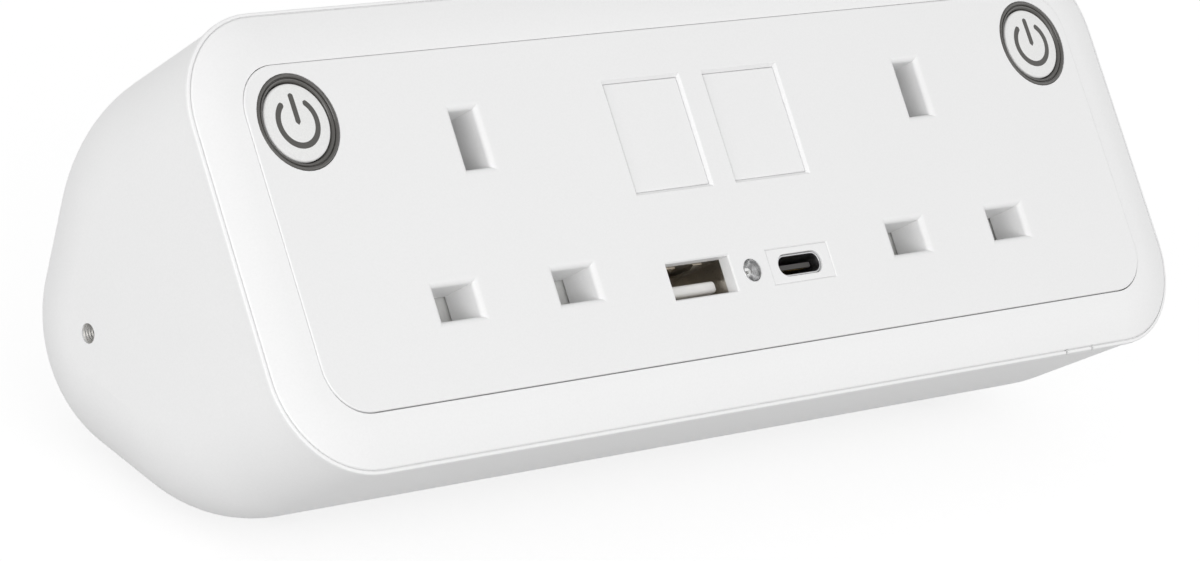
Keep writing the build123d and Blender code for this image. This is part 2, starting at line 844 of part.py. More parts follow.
# Socket carriers, shutters and shutter springs
ear_front = plate_back - carrier_post_height
shutter_front = -collar_depth - shutter_gap
shutter_back = shutter_front - shutter_thickness
blade_top = line_v + line_slot_height / 2 + shutter_cover
blade_bottom = line_v - line_slot_height / 2 - shutter_cover
blade_reach = pin_spread / 2 + line_slot_width / 2 + shutter_cover
bridge_half = pin_spread / 2 - line_slot_width / 2 - shutter_cover
track_bottom = -carrier_bottom + carrier_wall
shutter_travel = blade_bottom - track_bottom - shutter_room
bridge_top = blade_top + bridge_rise
ramp_depth = shutter_travel + shutter_cover
ramp_top = earth_v - earth_slot_height / 2 + shutter_travel - shutter_cover
ramp_start = ramp_top - ramp_depth
wedge_back = shutter_front - ramp_depth - ramp_toe
wedge_low = ramp_start - ramp_toe
track_half = pin_spread / 2 + line_slot_width / 2 + collar_wall + track_gap
track_top = line_v + line_slot_height / 2 + collar_wall + track_gap
spring_w = shutter_front - spring_radius - spring_wire
spring_back = spring_w - spring_radius - spring_wire - shutter_gap
spring_length = blade_top - track_bottom

for name, hand in sides:
    u = hand * socket_u
    with BuildPart() as carrier:
        with BuildSketch(on_face(u, (carrier_top - carrier_bottom) / 2, plate_back)):
            RectangleRounded(carrier_width, carrier_top + carrier_bottom, carrier_corner)
        extrude(amount=bar_front - plate_back)
        with BuildSketch(on_face(u, ear_v, ear_front)):
            Rectangle(carrier_width + 2 * ear_length, ear_width)
        extrude(amount=-ear_thickness)
        with BuildSketch(on_face(u, 0, plate_back)):
            with Locations((0, (track_bottom + track_top) / 2)):
                Rectangle(2 * track_half, track_top - track_bottom)
            with Locations((0, (track_bottom + bridge_top + track_gap) / 2)):
                Rectangle(2 * (bridge_half + track_gap), bridge_top + track_gap - track_bottom)
            with Locations((0, (track_bottom + ramp_top + track_gap) / 2)):
                Rectangle(stem_width + 2 * track_gap, ramp_top + track_gap - track_bottom)
        extrude(amount=shutter_back - shutter_gap - plate_back, mode=Mode.SUBTRACT)
        with BuildSketch(on_face(u, earth_v, plate_back)):
            Rectangle(
                earth_slot_width + 2 * (collar_wall + track_gap),
                earth_slot_height + 2 * (collar_wall + track_gap),
            )
        extrude(amount=shutter_front - plate_back, mode=Mode.SUBTRACT)
        channel_low = wedge_low - shutter_travel - shutter_thickness
        with BuildSketch(on_face(u, (channel_low + ramp_top + track_gap) / 2, plate_back)):
            Rectangle(stem_width + 2 * track_gap, ramp_top + track_gap - channel_low)
        extrude(amount=wedge_back - track_gap - plate_back, mode=Mode.SUBTRACT)
        with BuildSketch(on_face(u, (track_bottom + blade_top) / 2, plate_back)):
            Rectangle(spring_pocket, spring_length)
        extrude(amount=spring_back - plate_back, mode=Mode.SUBTRACT)
        with BuildSketch(on_face(u, 0, plate_back)):
            with Locations((-pin_spread / 2, line_v), (pin_spread / 2, line_v)):
                Rectangle(line_chamber_width, line_chamber_height)
            with Locations((0, earth_v)):
                Rectangle(earth_chamber_width, earth_chamber_height)
        extrude(amount=bar_front - plate_back, mode=Mode.SUBTRACT)
        with BuildSketch(on_face(u, ear_v, ear_front)):
            with GridLocations(carrier_width + ear_length, 0, 2, 1):
                Circle(carrier_screw_radius + peg_fit)
        extrude(amount=-ear_thickness, mode=Mode.SUBTRACT)
    save(carrier.part, f"{name}_socket_carrier")

    with BuildPart() as shutter:
        with BuildSketch(on_face(u, 0, shutter_front)):
            with Locations((0, (blade_top + blade_bottom) / 2)):
                Rectangle(2 * blade_reach, blade_top - blade_bottom)
            with Locations((0, (bridge_top + blade_bottom) / 2)):
                Rectangle(2 * bridge_half, bridge_top - blade_bottom)
            with Locations((0, (ramp_start + blade_top) / 2)):
                Rectangle(stem_width, ramp_start - blade_top)
            with Locations((0, (blade_bottom + blade_top) / 2)):
                Rectangle(spring_pocket, blade_top - blade_bottom, mode=Mode.SUBTRACT)
        extrude(amount=-shutter_thickness)
        with BuildSketch(across(u)):
            Polygon(
                (ramp_start, shutter_front),
                (ramp_top, shutter_front - ramp_depth),
                (ramp_top, wedge_back),
                (wedge_low, wedge_back),
                (wedge_low - shutter_thickness, shutter_back),
                (wedge_low - shutter_thickness, shutter_front),
                align=None,
            )
        extrude(amount=stem_width / 2, both=True)
    save(shutter.part, f"{name}_socket_shutter")

    with BuildPart() as spring:
        with BuildLine() as coil:
            Helix(
                pitch=(spring_length - 2 * spring_wire) / spring_turns,
                height=spring_length - 2 * spring_wire,
                radius=spring_radius,
                center=FACE.from_local_coords((u, track_bottom + spring_wire, spring_w)),
                direction=FACE.y_dir,
            )
        with BuildSketch(Plane(coil.line @ 0, z_dir=coil.line % 0)):
            Circle(spring_wire)
        sweep(path=coil.line, is_frenet=True)
    save(spring.part, f"{name}_shutter_spring")

with BuildPart() as carrier_screws:
    with BuildSketch(on_face(w=ear_front - ear_thickness)):
        with Locations(*carrier_screw_spots):
            Circle(carrier_screw_head_radius)
    extrude(amount=-carrier_screw_head)
    with BuildSketch(on_face(w=ear_front - ear_thickness)):
        with Locations(*carrier_screw_spots):
            Circle(carrier_screw_radius)
    extrude(amount=carrier_screw_length)
    with BuildSketch(on_face(w=ear_front - ear_thickness - carrier_screw_head)):
        with Locations(*carrier_screw_spots):
            RegularPolygon(carrier_screw_drive, 6)
    extrude(amount=carrier_screw_drive_depth, mode=Mode.SUBTRACT)
save(carrier_screws.part, "carrier_screws")


# Contacts, bars and terminals
def leaf_section(mouth, hand):
    """Corner points of one springy leaf of a pin clip, from the pin's middle line."""
    near = clip_gap / 2
    far = near + clip_leaf
    bend = -mouth - clip_flare_length
    points = [
        (near, bar_front), (near, bend), (near + clip_flare, -mouth),
        (far + clip_flare, -mouth), (far, bend), (far, bar_front),
    ]
    return [(hand * across_gap, depth) for across_gap, depth in points]


def line_clip(u):
    """Pair of leaves that grip a line or neutral pin."""
    with BuildPart() as clip:
        with BuildSketch(across(u, line_v)):
            Polygon(*leaf_section(clip_mouth, -1), align=None)
            Polygon(*leaf_section(clip_mouth, 1), align=None)
        extrude(amount=clip_width / 2, both=True)
    return clip.part


def earth_clip(u):
    """Pair of leaves that grip an earth pin."""
    with BuildPart() as clip:
        with BuildSketch(level(u, earth_v)):
            Polygon(*leaf_section(earth_clip_mouth, -1), align=None)
            Polygon(*leaf_section(earth_clip_mouth, 1), align=None)
        extrude(amount=clip_width / 2, both=True)
    return clip.part


clip_half = clip_gap / 2 + clip_leaf
live_top = live_run_v + live_run_width / 2
neutral_low = neutral_run_v - neutral_run_width / 2

for name, hand in sides:
    slot_u = hand * socket_u + pin_spread / 2
    blade_u = hand * button_u
    blade_v = button_v - blade_offset
    tip_u = blade_u + hand * blade_width / 2
    root_u = slot_u - hand * clip_width / 2
    with BuildPart() as live_contact:
        with BuildSketch(on_face(w=bar_front)):
            with Locations((slot_u, (line_v - clip_half + live_top) / 2)):
                Rectangle(clip_width, live_top - line_v + clip_half)
            with Locations(((tip_u + root_u) / 2, live_run_v)):
                Rectangle(abs(tip_u - root_u), live_run_width)
            with Locations((blade_u, (live_run_v + blade_v + blade_thickness / 2) / 2)):
                Rectangle(blade_width, blade_v + blade_thickness / 2 - live_run_v)
        extrude(amount=-strip_thickness)
        with BuildSketch(on_face(blade_u, blade_v, bar_front)):
            Rectangle(blade_width, blade_thickness)
        extrude(amount=switch_back - bar_front)
        add(line_clip(slot_u))
    save(live_contact.part, f"{name}_live_contact")

neutral_slots = [hand * socket_u - pin_spread / 2 for name, hand in sides]
with BuildPart() as neutral_bar:
    with BuildSketch(on_face(w=bar_front)):
        with Locations((sum(neutral_slots) / 2, neutral_run_v)):
            Rectangle(neutral_slots[1] - neutral_slots[0] + clip_width, neutral_run_width)
        for slot_u in neutral_slots:
            with Locations((slot_u, (neutral_low + line_v + clip_half) / 2)):
                Rectangle(clip_width, line_v + clip_half - neutral_low)
    extrude(amount=-strip_thickness)
    for slot_u in neutral_slots:
        add(line_clip(slot_u))
save(neutral_bar.part, "neutral_bar")

with BuildPart() as earth_bar:
    with BuildSketch(on_face(0, earth_v, bar_front)):
        Rectangle(2 * socket_u + clip_width, earth_run_width)
    extrude(amount=-strip_thickness)
    for name, hand in sides:
        add(earth_clip(hand * socket_u))
save(earth_bar.part, "earth_bar")

with BuildPart() as live_feed_bar:
    with BuildSketch(on_face(0, feed_run_v, bar_front)):
        Rectangle(2 * button_u + blade_width, feed_run_width)
    extrude(amount=-strip_thickness)
    with BuildSketch(on_face(0, button_v + blade_offset, bar_front)):
        with GridLocations(2 * button_u, 0, 2, 1):
            Rectangle(blade_width, blade_thickness)
    extrude(amount=switch_back - bar_front)
save(live_feed_bar.part, "live_feed_bar")

earth_terminal_u = terminal_u + terminal_width + terminal_gap
terminals = (
    ("live", terminal_u, feed_run_v),
    ("neutral", terminal_u, neutral_run_v),
    ("earth", earth_terminal_u, earth_v),
)
terminal_back = bar_back - terminal_depth
terminal_spots = [(u, v) for name, u, v in terminals]
for name, u, v in terminals:
    with BuildPart() as terminal:
        with BuildSketch(on_face(u, v, bar_back)):
            RectangleRounded(terminal_width, terminal_height, terminal_edge)
        extrude(amount=-terminal_depth)
        with BuildSketch(across(u, v, bar_back - terminal_floor - terminal_bore)):
            Circle(terminal_bore)
        extrude(amount=terminal_width, both=True, mode=Mode.SUBTRACT)
        with BuildSketch(on_face(u, v, terminal_back)):
            Circle(terminal_screw_radius + thread_fit)
        extrude(amount=terminal_depth - terminal_floor - terminal_bore, mode=Mode.SUBTRACT)
    save(terminal.part, f"{name}_terminal")

with BuildPart() as terminal_screws:
    with BuildSketch(on_face(w=terminal_back - terminal_screw_proud)):
        with Locations(*terminal_spots):
            Circle(terminal_screw_radius)
    extrude(amount=terminal_screw_length)
    with BuildSketch(on_face(w=terminal_back - terminal_screw_proud)):
        with Locations(*terminal_spots):
            Rectangle(2 * terminal_screw_radius, terminal_slot_width)
    extrude(amount=terminal_slot_depth, mode=Mode.SUBTRACT)
save(terminal_screws.part, "terminal_screws")

# Blanks in the data windows
blank_width = window_width - 2 * blank_gap
for (name, hand), (u, v) in zip(sides, windows):
    with BuildPart() as blank:
        with BuildSketch(on_face(u, v, -blank_recess)):
            Rectangle(blank_width, 2 * blank_half_v)
        extrude(amount=-blank_depth)
        with BuildSketch(on_face(u, v, plate_back)):
            Rectangle(blank_width, 2 * (blank_half_v + blank_lip))
        extrude(amount=-blank_lip_height)
        with BuildSketch(on_face(u, v, -blank_recess - blank_face)):
            Rectangle(blank_width - 2 * blank_wall, 2 * (blank_half_v - blank_wall))
        extrude(amount=-blank_depth, mode=Mode.SUBTRACT)
    save(blank.part, f"{name}_keystone_blank")

# USB-A port
with BuildPart() as usb_a_shell:
    with BuildSketch(on_face(-port_u, port_v, plate_back + usb_a_seat)):
        RectangleRounded(usb_a_width + 2 * usb_a_sheet, usb_a_height + 2 * usb_a_sheet, usb_a_corner)
    extrude(amount=-usb_a_depth - usb_a_seat)
    with BuildSketch(on_face(-port_u, port_v, plate_back + usb_a_seat)):
        Rectangle(usb_a_width, usb_a_height)
    extrude(amount=usb_a_sheet - usb_a_depth - usb_a_seat, mode=Mode.SUBTRACT)
save(usb_a_shell.part, "usb_a_shell")

with BuildPart() as usb_a_tongue:
    tongue_v = port_v - (usb_a_height - usb_a_tongue_height) / 2 + usb_a_tongue_lift
    with BuildSketch(on_face(-port_u, tongue_v, plate_back - usb_a_tongue_set_back)):
        Rectangle(usb_a_tongue_width, usb_a_tongue_height)
    extrude(amount=usb_a_tongue_set_back + usb_a_sheet - usb_a_depth)
    tongue_nose = usb_a_tongue.faces().sort_by(Axis(FACE.origin, FACE.z_dir))[-1]
    fillet(tongue_nose.edges().filter_by(Axis(FACE.origin, FACE.y_dir)), usb_a_tongue_corner)
save(usb_a_tongue.part, "usb_a_tongue")

# USB-C port
usb_c_back = -usb_c_recess - usb_c_depth
with BuildPart() as usb_c_surround:
    surround_width = usb_c_window_width - 2 * surround_gap
    surround_height = usb_c_window_height - 2 * surround_gap
    with BuildSketch(on_face(port_u, port_v, -surround_recess)):
        Rectangle(surround_width, surround_height)
    extrude(amount=surround_recess + plate_back)
    with BuildSketch(on_face(port_u, port_v, plate_back)):
        Rectangle(surround_width + 2 * surround_lip, surround_height + 2 * surround_lip)
    extrude(amount=-surround_lip_height)
    with BuildSketch(on_face(port_u, port_v)):
        SlotOverall(usb_c_width + 2 * thread_fit, usb_c_height + 2 * thread_fit)
    extrude(amount=2 * plate_back, mode=Mode.SUBTRACT)
save(usb_c_surround.part, "usb_c_surround")

with BuildPart() as usb_c_shell:
    with BuildSketch(on_face(port_u, port_v, -usb_c_recess)):
        SlotOverall(usb_c_width, usb_c_height)
    extrude(amount=-usb_c_depth)
    leg_height = port_v - board_top_v
    leg_u = usb_c_width / 2 - usb_c_height / 2 - usb_c_leg_width / 2
    with BuildSketch(on_face(port_u, (port_v + board_top_v) / 2, usb_c_back)):
        with GridLocations(2 * leg_u, 0, 2, 1):
            Rectangle(usb_c_leg_width, leg_height)
    extrude(amount=usb_c_leg_length)
    with BuildSketch(on_face(port_u, port_v, -usb_c_recess)):
        SlotOverall(usb_c_width - 2 * usb_c_sheet, usb_c_height - 2 * usb_c_sheet)
    extrude(amount=usb_c_sheet - usb_c_depth, mode=Mode.SUBTRACT)
save(usb_c_shell.part, "usb_c_shell")

with BuildPart() as usb_c_tongue:
    with BuildSketch(on_face(port_u, port_v, usb_c_back + usb_c_sheet)):
        RectangleRounded(usb_c_tongue_width, usb_c_tongue_height, usb_c_tongue_height / 4)
    extrude(amount=usb_c_depth - usb_c_sheet - usb_c_tongue_set_back)
save(usb_c_tongue.part, "usb_c_tongue")

# Indicator lamp, with its leads bent down to the board
lamp_end = plate_back - lamp_body
with BuildPart() as status_lamp:
    with BuildSketch(level(0, port_v)):
        with BuildLine():
            cap = ThreePointArc((0, lamp_dome), (lamp_radius / 2, lamp_dome * 3 / 4), (lamp_radius, 0))
            Polyline(
                cap @ 1,
                (lamp_radius, plate_back),
                (lamp_radius + lamp_flange, plate_back),
                (lamp_radius + lamp_flange, plate_back - lamp_flange_height),
                (lamp_radius, plate_back - lamp_flange_height),
                (lamp_radius, lamp_end),
                (0, lamp_end),
                cap @ 0,
            )
        make_face()
    revolve(axis=Axis(FACE.from_local_coords((0, port_v, 0)), FACE.z_dir))
    with BuildSketch(on_face(0, (port_v + board_top_v) / 2, lamp_end)):
        with GridLocations(lamp_lead_pitch, 0, 2, 1):
            Rectangle(lamp_lead, port_v - board_top_v)
    extrude(amount=-lamp_lead)
save(status_lamp.part, "status_lamp")

# Charger board, transformer and capacitor
board_front = plate_back - board_set_back
with BuildPart() as charger_board:
    with BuildSketch(on_face(0, (board_top_v + board_bottom_v) / 2, board_front)):
        Rectangle(board_width, board_thickness)
    extrude(amount=-board_depth)
save(charger_board.part, "charger_board")

with BuildPart() as charger_transformer:
    with BuildSketch(on_face(transformer_u, board_top_v + core_height / 2, transformer_w)):
        Rectangle(core_width, core_height)
    extrude(amount=core_depth / 2, both=True)
    with BuildSketch(on_face(transformer_u, board_top_v + core_height / 2, transformer_w)):
        RectangleRounded(core_width - 2 * core_limb, core_height - 2 * core_limb, core_limb / 2)
    extrude(amount=core_depth / 2 + winding_bulge, both=True)
save(charger_transformer.part, "charger_transformer")

with BuildPart() as charger_capacitor:
    with BuildSketch(level(capacitor_u, board_top_v, capacitor_w)):
        Circle(capacitor_radius)
    extrude(amount=-capacitor_height)
    fillet(charger_capacitor.edges().sort_by(Axis(FACE.origin, FACE.y_dir))[-1], capacitor_edge)
save(charger_capacitor.part, "charger_capacitor")

# Grommet and cord clamp
inlet_plane = slope_plane(flat_middle)
grommet_body = inlet_radius - grommet_fit
grommet_outer = grommet_body + grommet_lip
with BuildPart() as cable_grommet:
    section_plane = Plane(inlet_plane.origin, x_dir=inlet_plane.x_dir, z_dir=-inlet_plane.y_dir)
    with BuildSketch(section_plane) as grommet_section:
        with BuildLine():
            Polyline(
                (grommet_bore, grommet_lip_height),
                (grommet_outer, grommet_lip_height),
                (grommet_outer, 0),
                (grommet_body, 0),
                (grommet_body, -wall),
                (grommet_outer, -wall),
                (grommet_outer, -wall - grommet_lip_height),
                (grommet_bore, -wall - grommet_lip_height),
                close=True,
            )
        make_face()
        fillet(
            grommet_section.vertices().sort_by_distance((grommet_outer, grommet_lip_height))[0],
            grommet_edge,
        )
    revolve(axis=Axis(inlet_plane.origin, inlet_plane.z_dir))
save(cable_grommet.part, "cable_grommet")

arch_outer = clamp_arch_radius + clamp_thickness
with BuildPart() as cord_clamp:
    section_plane = Plane(clamp_seat.origin, x_dir=clamp_seat.y_dir, z_dir=clamp_seat.x_dir)
    with BuildSketch(section_plane):
        with Locations((0, -clamp_thickness / 2)):
            Rectangle(clamp_length, clamp_thickness)
        Circle(arch_outer)
        Circle(clamp_arch_radius, mode=Mode.SUBTRACT)
        with Locations((0, arch_outer / 2)):
            Rectangle(clamp_length, arch_outer, mode=Mode.SUBTRACT)
    extrude(amount=clamp_width / 2, both=True)
    with BuildSketch(clamp_seat):
        with GridLocations(0, clamp_post_pitch, 1, 2):
            Circle(clamp_screw_radius + peg_fit)
    extrude(amount=-clamp_thickness, mode=Mode.SUBTRACT)
save(cord_clamp.part, "cord_clamp")

with BuildPart() as clamp_screws:
    with BuildSketch(clamp_seat.offset(-clamp_thickness)):
        with GridLocations(0, clamp_post_pitch, 1, 2):
            Circle(clamp_screw_head_radius)
    extrude(amount=-clamp_screw_head)
    with BuildSketch(clamp_seat.offset(-clamp_thickness)):
        with GridLocations(0, clamp_post_pitch, 1, 2):
            Circle(clamp_screw_radius)
    extrude(amount=clamp_screw_length)
    with BuildSketch(clamp_seat.offset(-clamp_thickness - clamp_screw_head)):
        with GridLocations(0, clamp_post_pitch, 1, 2):
            RegularPolygon(clamp_screw_drive, 6)
    extrude(amount=clamp_screw_drive_depth, mode=Mode.SUBTRACT)
save(clamp_screws.part, "clamp_screws")
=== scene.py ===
import json
from math import cos, pi, radians, sin

import bmesh
import bpy
import numpy as np
from mathutils import Matrix, Vector


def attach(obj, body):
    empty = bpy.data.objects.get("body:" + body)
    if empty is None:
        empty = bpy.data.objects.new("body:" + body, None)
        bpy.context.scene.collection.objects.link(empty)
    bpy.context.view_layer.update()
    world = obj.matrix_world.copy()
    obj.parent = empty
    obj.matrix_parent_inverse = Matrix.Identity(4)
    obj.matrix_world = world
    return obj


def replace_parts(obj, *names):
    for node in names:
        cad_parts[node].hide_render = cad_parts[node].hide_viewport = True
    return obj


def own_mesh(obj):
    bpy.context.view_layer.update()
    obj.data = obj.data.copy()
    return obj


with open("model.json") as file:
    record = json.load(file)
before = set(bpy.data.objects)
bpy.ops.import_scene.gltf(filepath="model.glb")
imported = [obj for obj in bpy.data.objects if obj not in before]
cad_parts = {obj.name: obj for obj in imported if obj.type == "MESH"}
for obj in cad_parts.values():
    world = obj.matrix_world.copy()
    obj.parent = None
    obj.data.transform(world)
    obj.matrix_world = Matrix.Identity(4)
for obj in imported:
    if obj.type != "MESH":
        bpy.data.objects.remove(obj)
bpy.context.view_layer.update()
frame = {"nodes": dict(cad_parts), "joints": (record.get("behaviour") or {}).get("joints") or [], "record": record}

bl_info = {
    "name": "Desktop Power Module",
    "version": (1, 0, 0),
    "blender": (4, 5, 0),
    "location": "3D View > Sidebar > Power Module",
    "description": "Dresses the CAD frame of a desktop power module and sets it in a plain studio",
    "category": "Object",
}

MM = 0.001
MICRON = 0.000001
# Points of a mesh that are nearer than this are one point
MERGE = 0.1 * MICRON
SIDES = ("left", "right")


def linear(code):
    """Linear RGBA of an sRGB hex colour."""
    parts = [int(code[at:at + 2], 16) / 255 for at in (1, 3, 5)]
    return [c / 12.92 if c <= 0.04045 else ((c + 0.055) / 1.055) ** 2.4 for c in parts] + [1.0]


def length(name, millimetres, description):
    """Property for a length that a user may change."""
    return bpy.props.FloatProperty(
        name=name, description=description, default=millimetres * MM, min=0, precision=5,
        subtype="DISTANCE", unit="LENGTH",
    )


def colour(name, code, description):
    """Property for a colour that a user may change."""
    return bpy.props.FloatVectorProperty(
        name=name, description=description, default=linear(code), size=4, min=0, max=1, subtype="COLOR",
    )


def power(name, watts, description):
    """Property for a lamp's power that a user may change."""
    return bpy.props.FloatProperty(
        name=name, description=description, default=watts, min=0, subtype="POWER", unit="POWER",
    )


class ModuleSizes(bpy.types.PropertyGroup):
    """Sizes of the details that are added to the CAD pieces."""
    cap_radius: length("Cap radius", 5.5, "Radius of a button cap's dome")
    cap_dome: length("Cap dome", 0.15, "How far a button cap's middle stands above its edge")
    sign_radius: length("Sign radius", 3.28, "Middle radius of the broken ring in the power sign")
    sign_stroke: length("Sign stroke", 0.85, "Width of the power sign's lines")
    sign_reach: length("Sign reach", 4.1, "Top of the power sign's bar above the middle of the cap")
    sign_tail: length("Sign tail", 0.4, "Tip of the power sign's bar below the middle of the cap")
    sign_gap: bpy.props.FloatProperty(
        name="Sign gap", description="Half of the opening at the top of the power sign",
        default=radians(40), subtype="ANGLE", unit="ROTATION",
    )
    ink_height: length("Ink height", 0.02, "How far the printed sign stands above the cap")
    seam_step: length("Seam step", 0.08, "How much wider the faceplate's seam is along its lower edge")
    slit_shift: length("Slit shift", 4.75, "How far the lip's two slits are moved towards the middle")
    ring_clearance: length("Ring clearance", 0.12, "Gap between a button cap and its ring")
    contact_pitch: length("USB-A contact pitch", 2.0, "Spacing of the contact springs in the USB-A port")
    pad_pitch: length("USB-C contact pitch", 0.5, "Spacing of the contact pads in the USB-C port")
    thread_pitch: length("Thread pitch", 0.45, "Pitch of the thread in the end inserts")
    spring_wire: length("Spring wire", 0.25, "Radius of the shutter springs' wire")
    spring_turns: bpy.props.IntProperty(
        name="Spring turns", description="Open turns of each shutter spring", default=5, min=1,
    )


class ModuleColours(bpy.types.PropertyGroup):
    """Colours of the pieces that show."""
    case: colour("Case", "#F2F2F2", "Moulded housing and bezel")
    plate: colour("Faceplate", "#EFEFEF", "Moulded faceplate, blanks and port surround")
    cap: colour("Button cap", "#EDEDEC", "Moulded button caps")
    ring: colour("Button ring", "#4C4A47", "Moulded rings round the buttons")
    sign: colour("Power sign", "#4E4C49", "Ink of the power sign")
    shutter: colour("Shutter", "#E2E2E0", "Moulded socket shutters")


class StudioSettings(bpy.types.PropertyGroup):
    """Camera and light."""
    lens: bpy.props.FloatProperty(
        name="Lens", description="Focal length on a 36 mm wide sensor", default=148.19, min=1,
    )
    front_power: power("Front lamp", 4.5, "Wide lamp before the face")
    right_power: power("Right lamp", 2.1, "Lamp before the right end")
    left_power: power("Left lamp", 6.7, "Long lamp beside the left end")
    sky: bpy.props.FloatProperty(
        name="Sky", description="Strength of the even light from all round", default=0.63, min=0,
    )
    floor: colour("Floor", "#B4B4B4", "Plain pale floor, as it throws light back on the module")
    floor_shade: colour("Floor shade", "#959595", "Plain pale floor, as the camera sees it lit")
    floor_lift: bpy.props.FloatProperty(
        name="Floor lift", description="White that the camera sees over the floor",
        default=0.78, min=0, max=1,
    )


# Places on the face
def face_matrix():
    """Place of the faceplate's front: u across, v up the face and w out of it, from the middle."""
    press = next(joint for joint in frame["joints"] if joint["name"] == "left_button_press")
    out = -Vector(press["axis"]).normalized()
    across = Vector((1, 0, 0))
    up = out.cross(across)
    turn = Matrix((across, up, out)).transposed()
    points = [vertex.co for vertex in frame["nodes"]["faceplate"].data.vertices]
    spots = np.array(points) @ np.array(turn)
    low, high = spots.min(0), spots.max(0)
    middle = turn @ Vector(((low[0] + high[0]) / 2, (low[1] + high[1]) / 2, high[2]))
    return Matrix.Translation(middle) @ turn.to_4x4()


FACE = face_matrix()


def span(node):
    """Lowest and highest corner of a CAD node in the face's own u, v and w."""
    into_face = FACE.inverted()
    spots = np.array([into_face @ vertex.co for vertex in frame["nodes"][node].data.vertices])
    return Vector(spots.min(0)), Vector(spots.max(0))


def inward(u, v, w):
    """Place on the face whose own x runs across, y into the module and z up the face."""
    turn = Matrix(((1, 0, 0, 0), (0, 0, 1, 0), (0, -1, 0, 0), (0, 0, 0, 1)))
    return FACE @ Matrix.Translation((u, v, w)) @ turn


def both(node):
    """A node's name on each side."""
    return [f"{side}_{node}" for side in SIDES]


# Materials
def add(tree, kind, props=(), values=(), links=()):
    """Add a node to a tree, with its settings, socket values and incoming links."""
    made = tree.nodes.new(kind)
    for key, value in dict(props).items():
        setattr(made, key, value)
    for key, value in dict(values).items():
        made.inputs[key].default_value = value
    for key, source in dict(links).items():
        tree.links.new(source, made.inputs[key])
    return made


def start_material(name, values):
    """New material with its shader's own sockets set; gives the material, its tree and its shader."""
    made = bpy.data.materials.new(name)
    made.use_nodes = True
    tree = made.node_tree
    shader = tree.nodes["Principled BSDF"]
    for key, value in values.items():
        shader.inputs[key].default_value = value
    return made, tree, shader


def darker(tint, share):
    """A colour with a share of its light."""
    return [c * share for c in tint[:3]] + [1.0]


def work_surface(tree, shader, tone, pattern, rough, swing, depth):
    """Give a shader its tone, and let a pattern break up its gloss and raise it by a depth in mm."""
    gloss = add(tree, "ShaderNodeMapRange", values={"To Min": rough - swing, "To Max": rough + swing},
                links={"Value": pattern})
    bump = add(tree, "ShaderNodeBump", values={"Strength": 1.0, "Distance": depth * MM},
               links={"Height": pattern})
    tree.links.new(tone, shader.inputs["Base Color"])
    tree.links.new(gloss.outputs["Result"], shader.inputs["Roughness"])
    tree.links.new(bump.outputs["Normal"], shader.inputs["Normal"])


def moulding(name, tint, rough, grain, depth, ior=1.54, speckle=0.98, **sockets):
    """Moulded surface: slow drift of its colour where the melt flowed, and the grain of its tool in mm.

    Real grain is mostly a tenth of a millimetre or finer, and is drawn as coarse as it needs to show.
    """
    flow_size = 30 * MM
    made, tree, shader = start_material(name, {"IOR": ior, **sockets})
    place = add(tree, "ShaderNodeTexCoord").outputs["Object"]
    flow = add(tree, "ShaderNodeTexNoise", values={"Scale": 1 / flow_size, "Detail": 2.0},
               links={"Vector": place})
    drift = add(tree, "ShaderNodeMix", {"data_type": "RGBA"}, {"A": darker(tint, share=0.98), "B": tint},
                {"Factor": flow.outputs["Fac"]})
    pits = add(tree, "ShaderNodeTexNoise", links={"Vector": place},
               values={"Scale": 1 / (grain * MM), "Detail": 3.0, "Roughness": 0.6})
    tone = drift
    if speckle < 1:
        deep = add(tree, "ShaderNodeMapRange", values={"From Min": 0.35, "From Max": 0.65, "To Min": speckle},
                   links={"Value": pits.outputs["Fac"]})
        tone = add(tree, "ShaderNodeMix", {"data_type": "RGBA", "blend_type": "MULTIPLY"}, {"Factor": 1.0},
                   {"A": drift.outputs["Result"], "B": deep.outputs["Result"]})
    work_surface(tree, shader, tone.outputs["Result"], pits.outputs["Fac"], rough, swing=0.06, depth=depth)
    return made


def metal(name, tint, rough, line, depth, stretch=(1, 1, 1)):
    """Worked metal: drawn or stamped lines of a width in mm, which break up the gloss and stain a little.

    Real lines are a few hundredths of a millimetre wide, and are drawn as coarse as they need to show.
    """
    made, tree, shader = start_material(name, {"Metallic": 1.0})
    place = add(tree, "ShaderNodeTexCoord").outputs["Object"]
    along = add(tree, "ShaderNodeMapping", values={"Scale": stretch}, links={"Vector": place})
    lines = add(tree, "ShaderNodeTexNoise", values={"Scale": 1 / (line * MM), "Detail": 3.0},
                links={"Vector": along.outputs["Vector"]})
    tone = add(tree, "ShaderNodeMix", {"data_type": "RGBA"}, {"A": darker(tint, share=0.82), "B": tint},
               {"Factor": lines.outputs["Fac"]})
    work_surface(tree, shader, tone.outputs["Result"], lines.outputs["Fac"], rough, swing=0.08, depth=depth)
    return made


def finish(material, *nodes):
    """Give CAD nodes a finish."""
    for name in nodes:
        for slot in frame["nodes"][name].material_slots:
            slot.link = "OBJECT"
            slot.material = material


# Shapes
def tidy(form):
    """Merge a form's doubles and turn its faces outward."""
    bmesh.ops.remove_doubles(form, verts=form.verts, dist=MERGE)
    bmesh.ops.dissolve_degenerate(form, edges=form.edges, dist=MERGE)
    bmesh.ops.recalc_face_normals(form, faces=form.faces)
    return form


def lathe(profile, steps):
    """Closed form turned from an outline of radius and height."""
    form = bmesh.new()
    rows = []
    for step in range(steps):
        turn = 2 * pi * step / steps
        rows.append([form.verts.new((r * cos(turn), r * sin(turn), w)) for r, w in profile])
    for here, there in zip(rows, rows[1:] + rows[:1]):
        for at in range(len(profile)):
            after = (at + 1) % len(profile)
            form.faces.new((here[at], there[at], there[after], here[after]))
    return tidy(form)


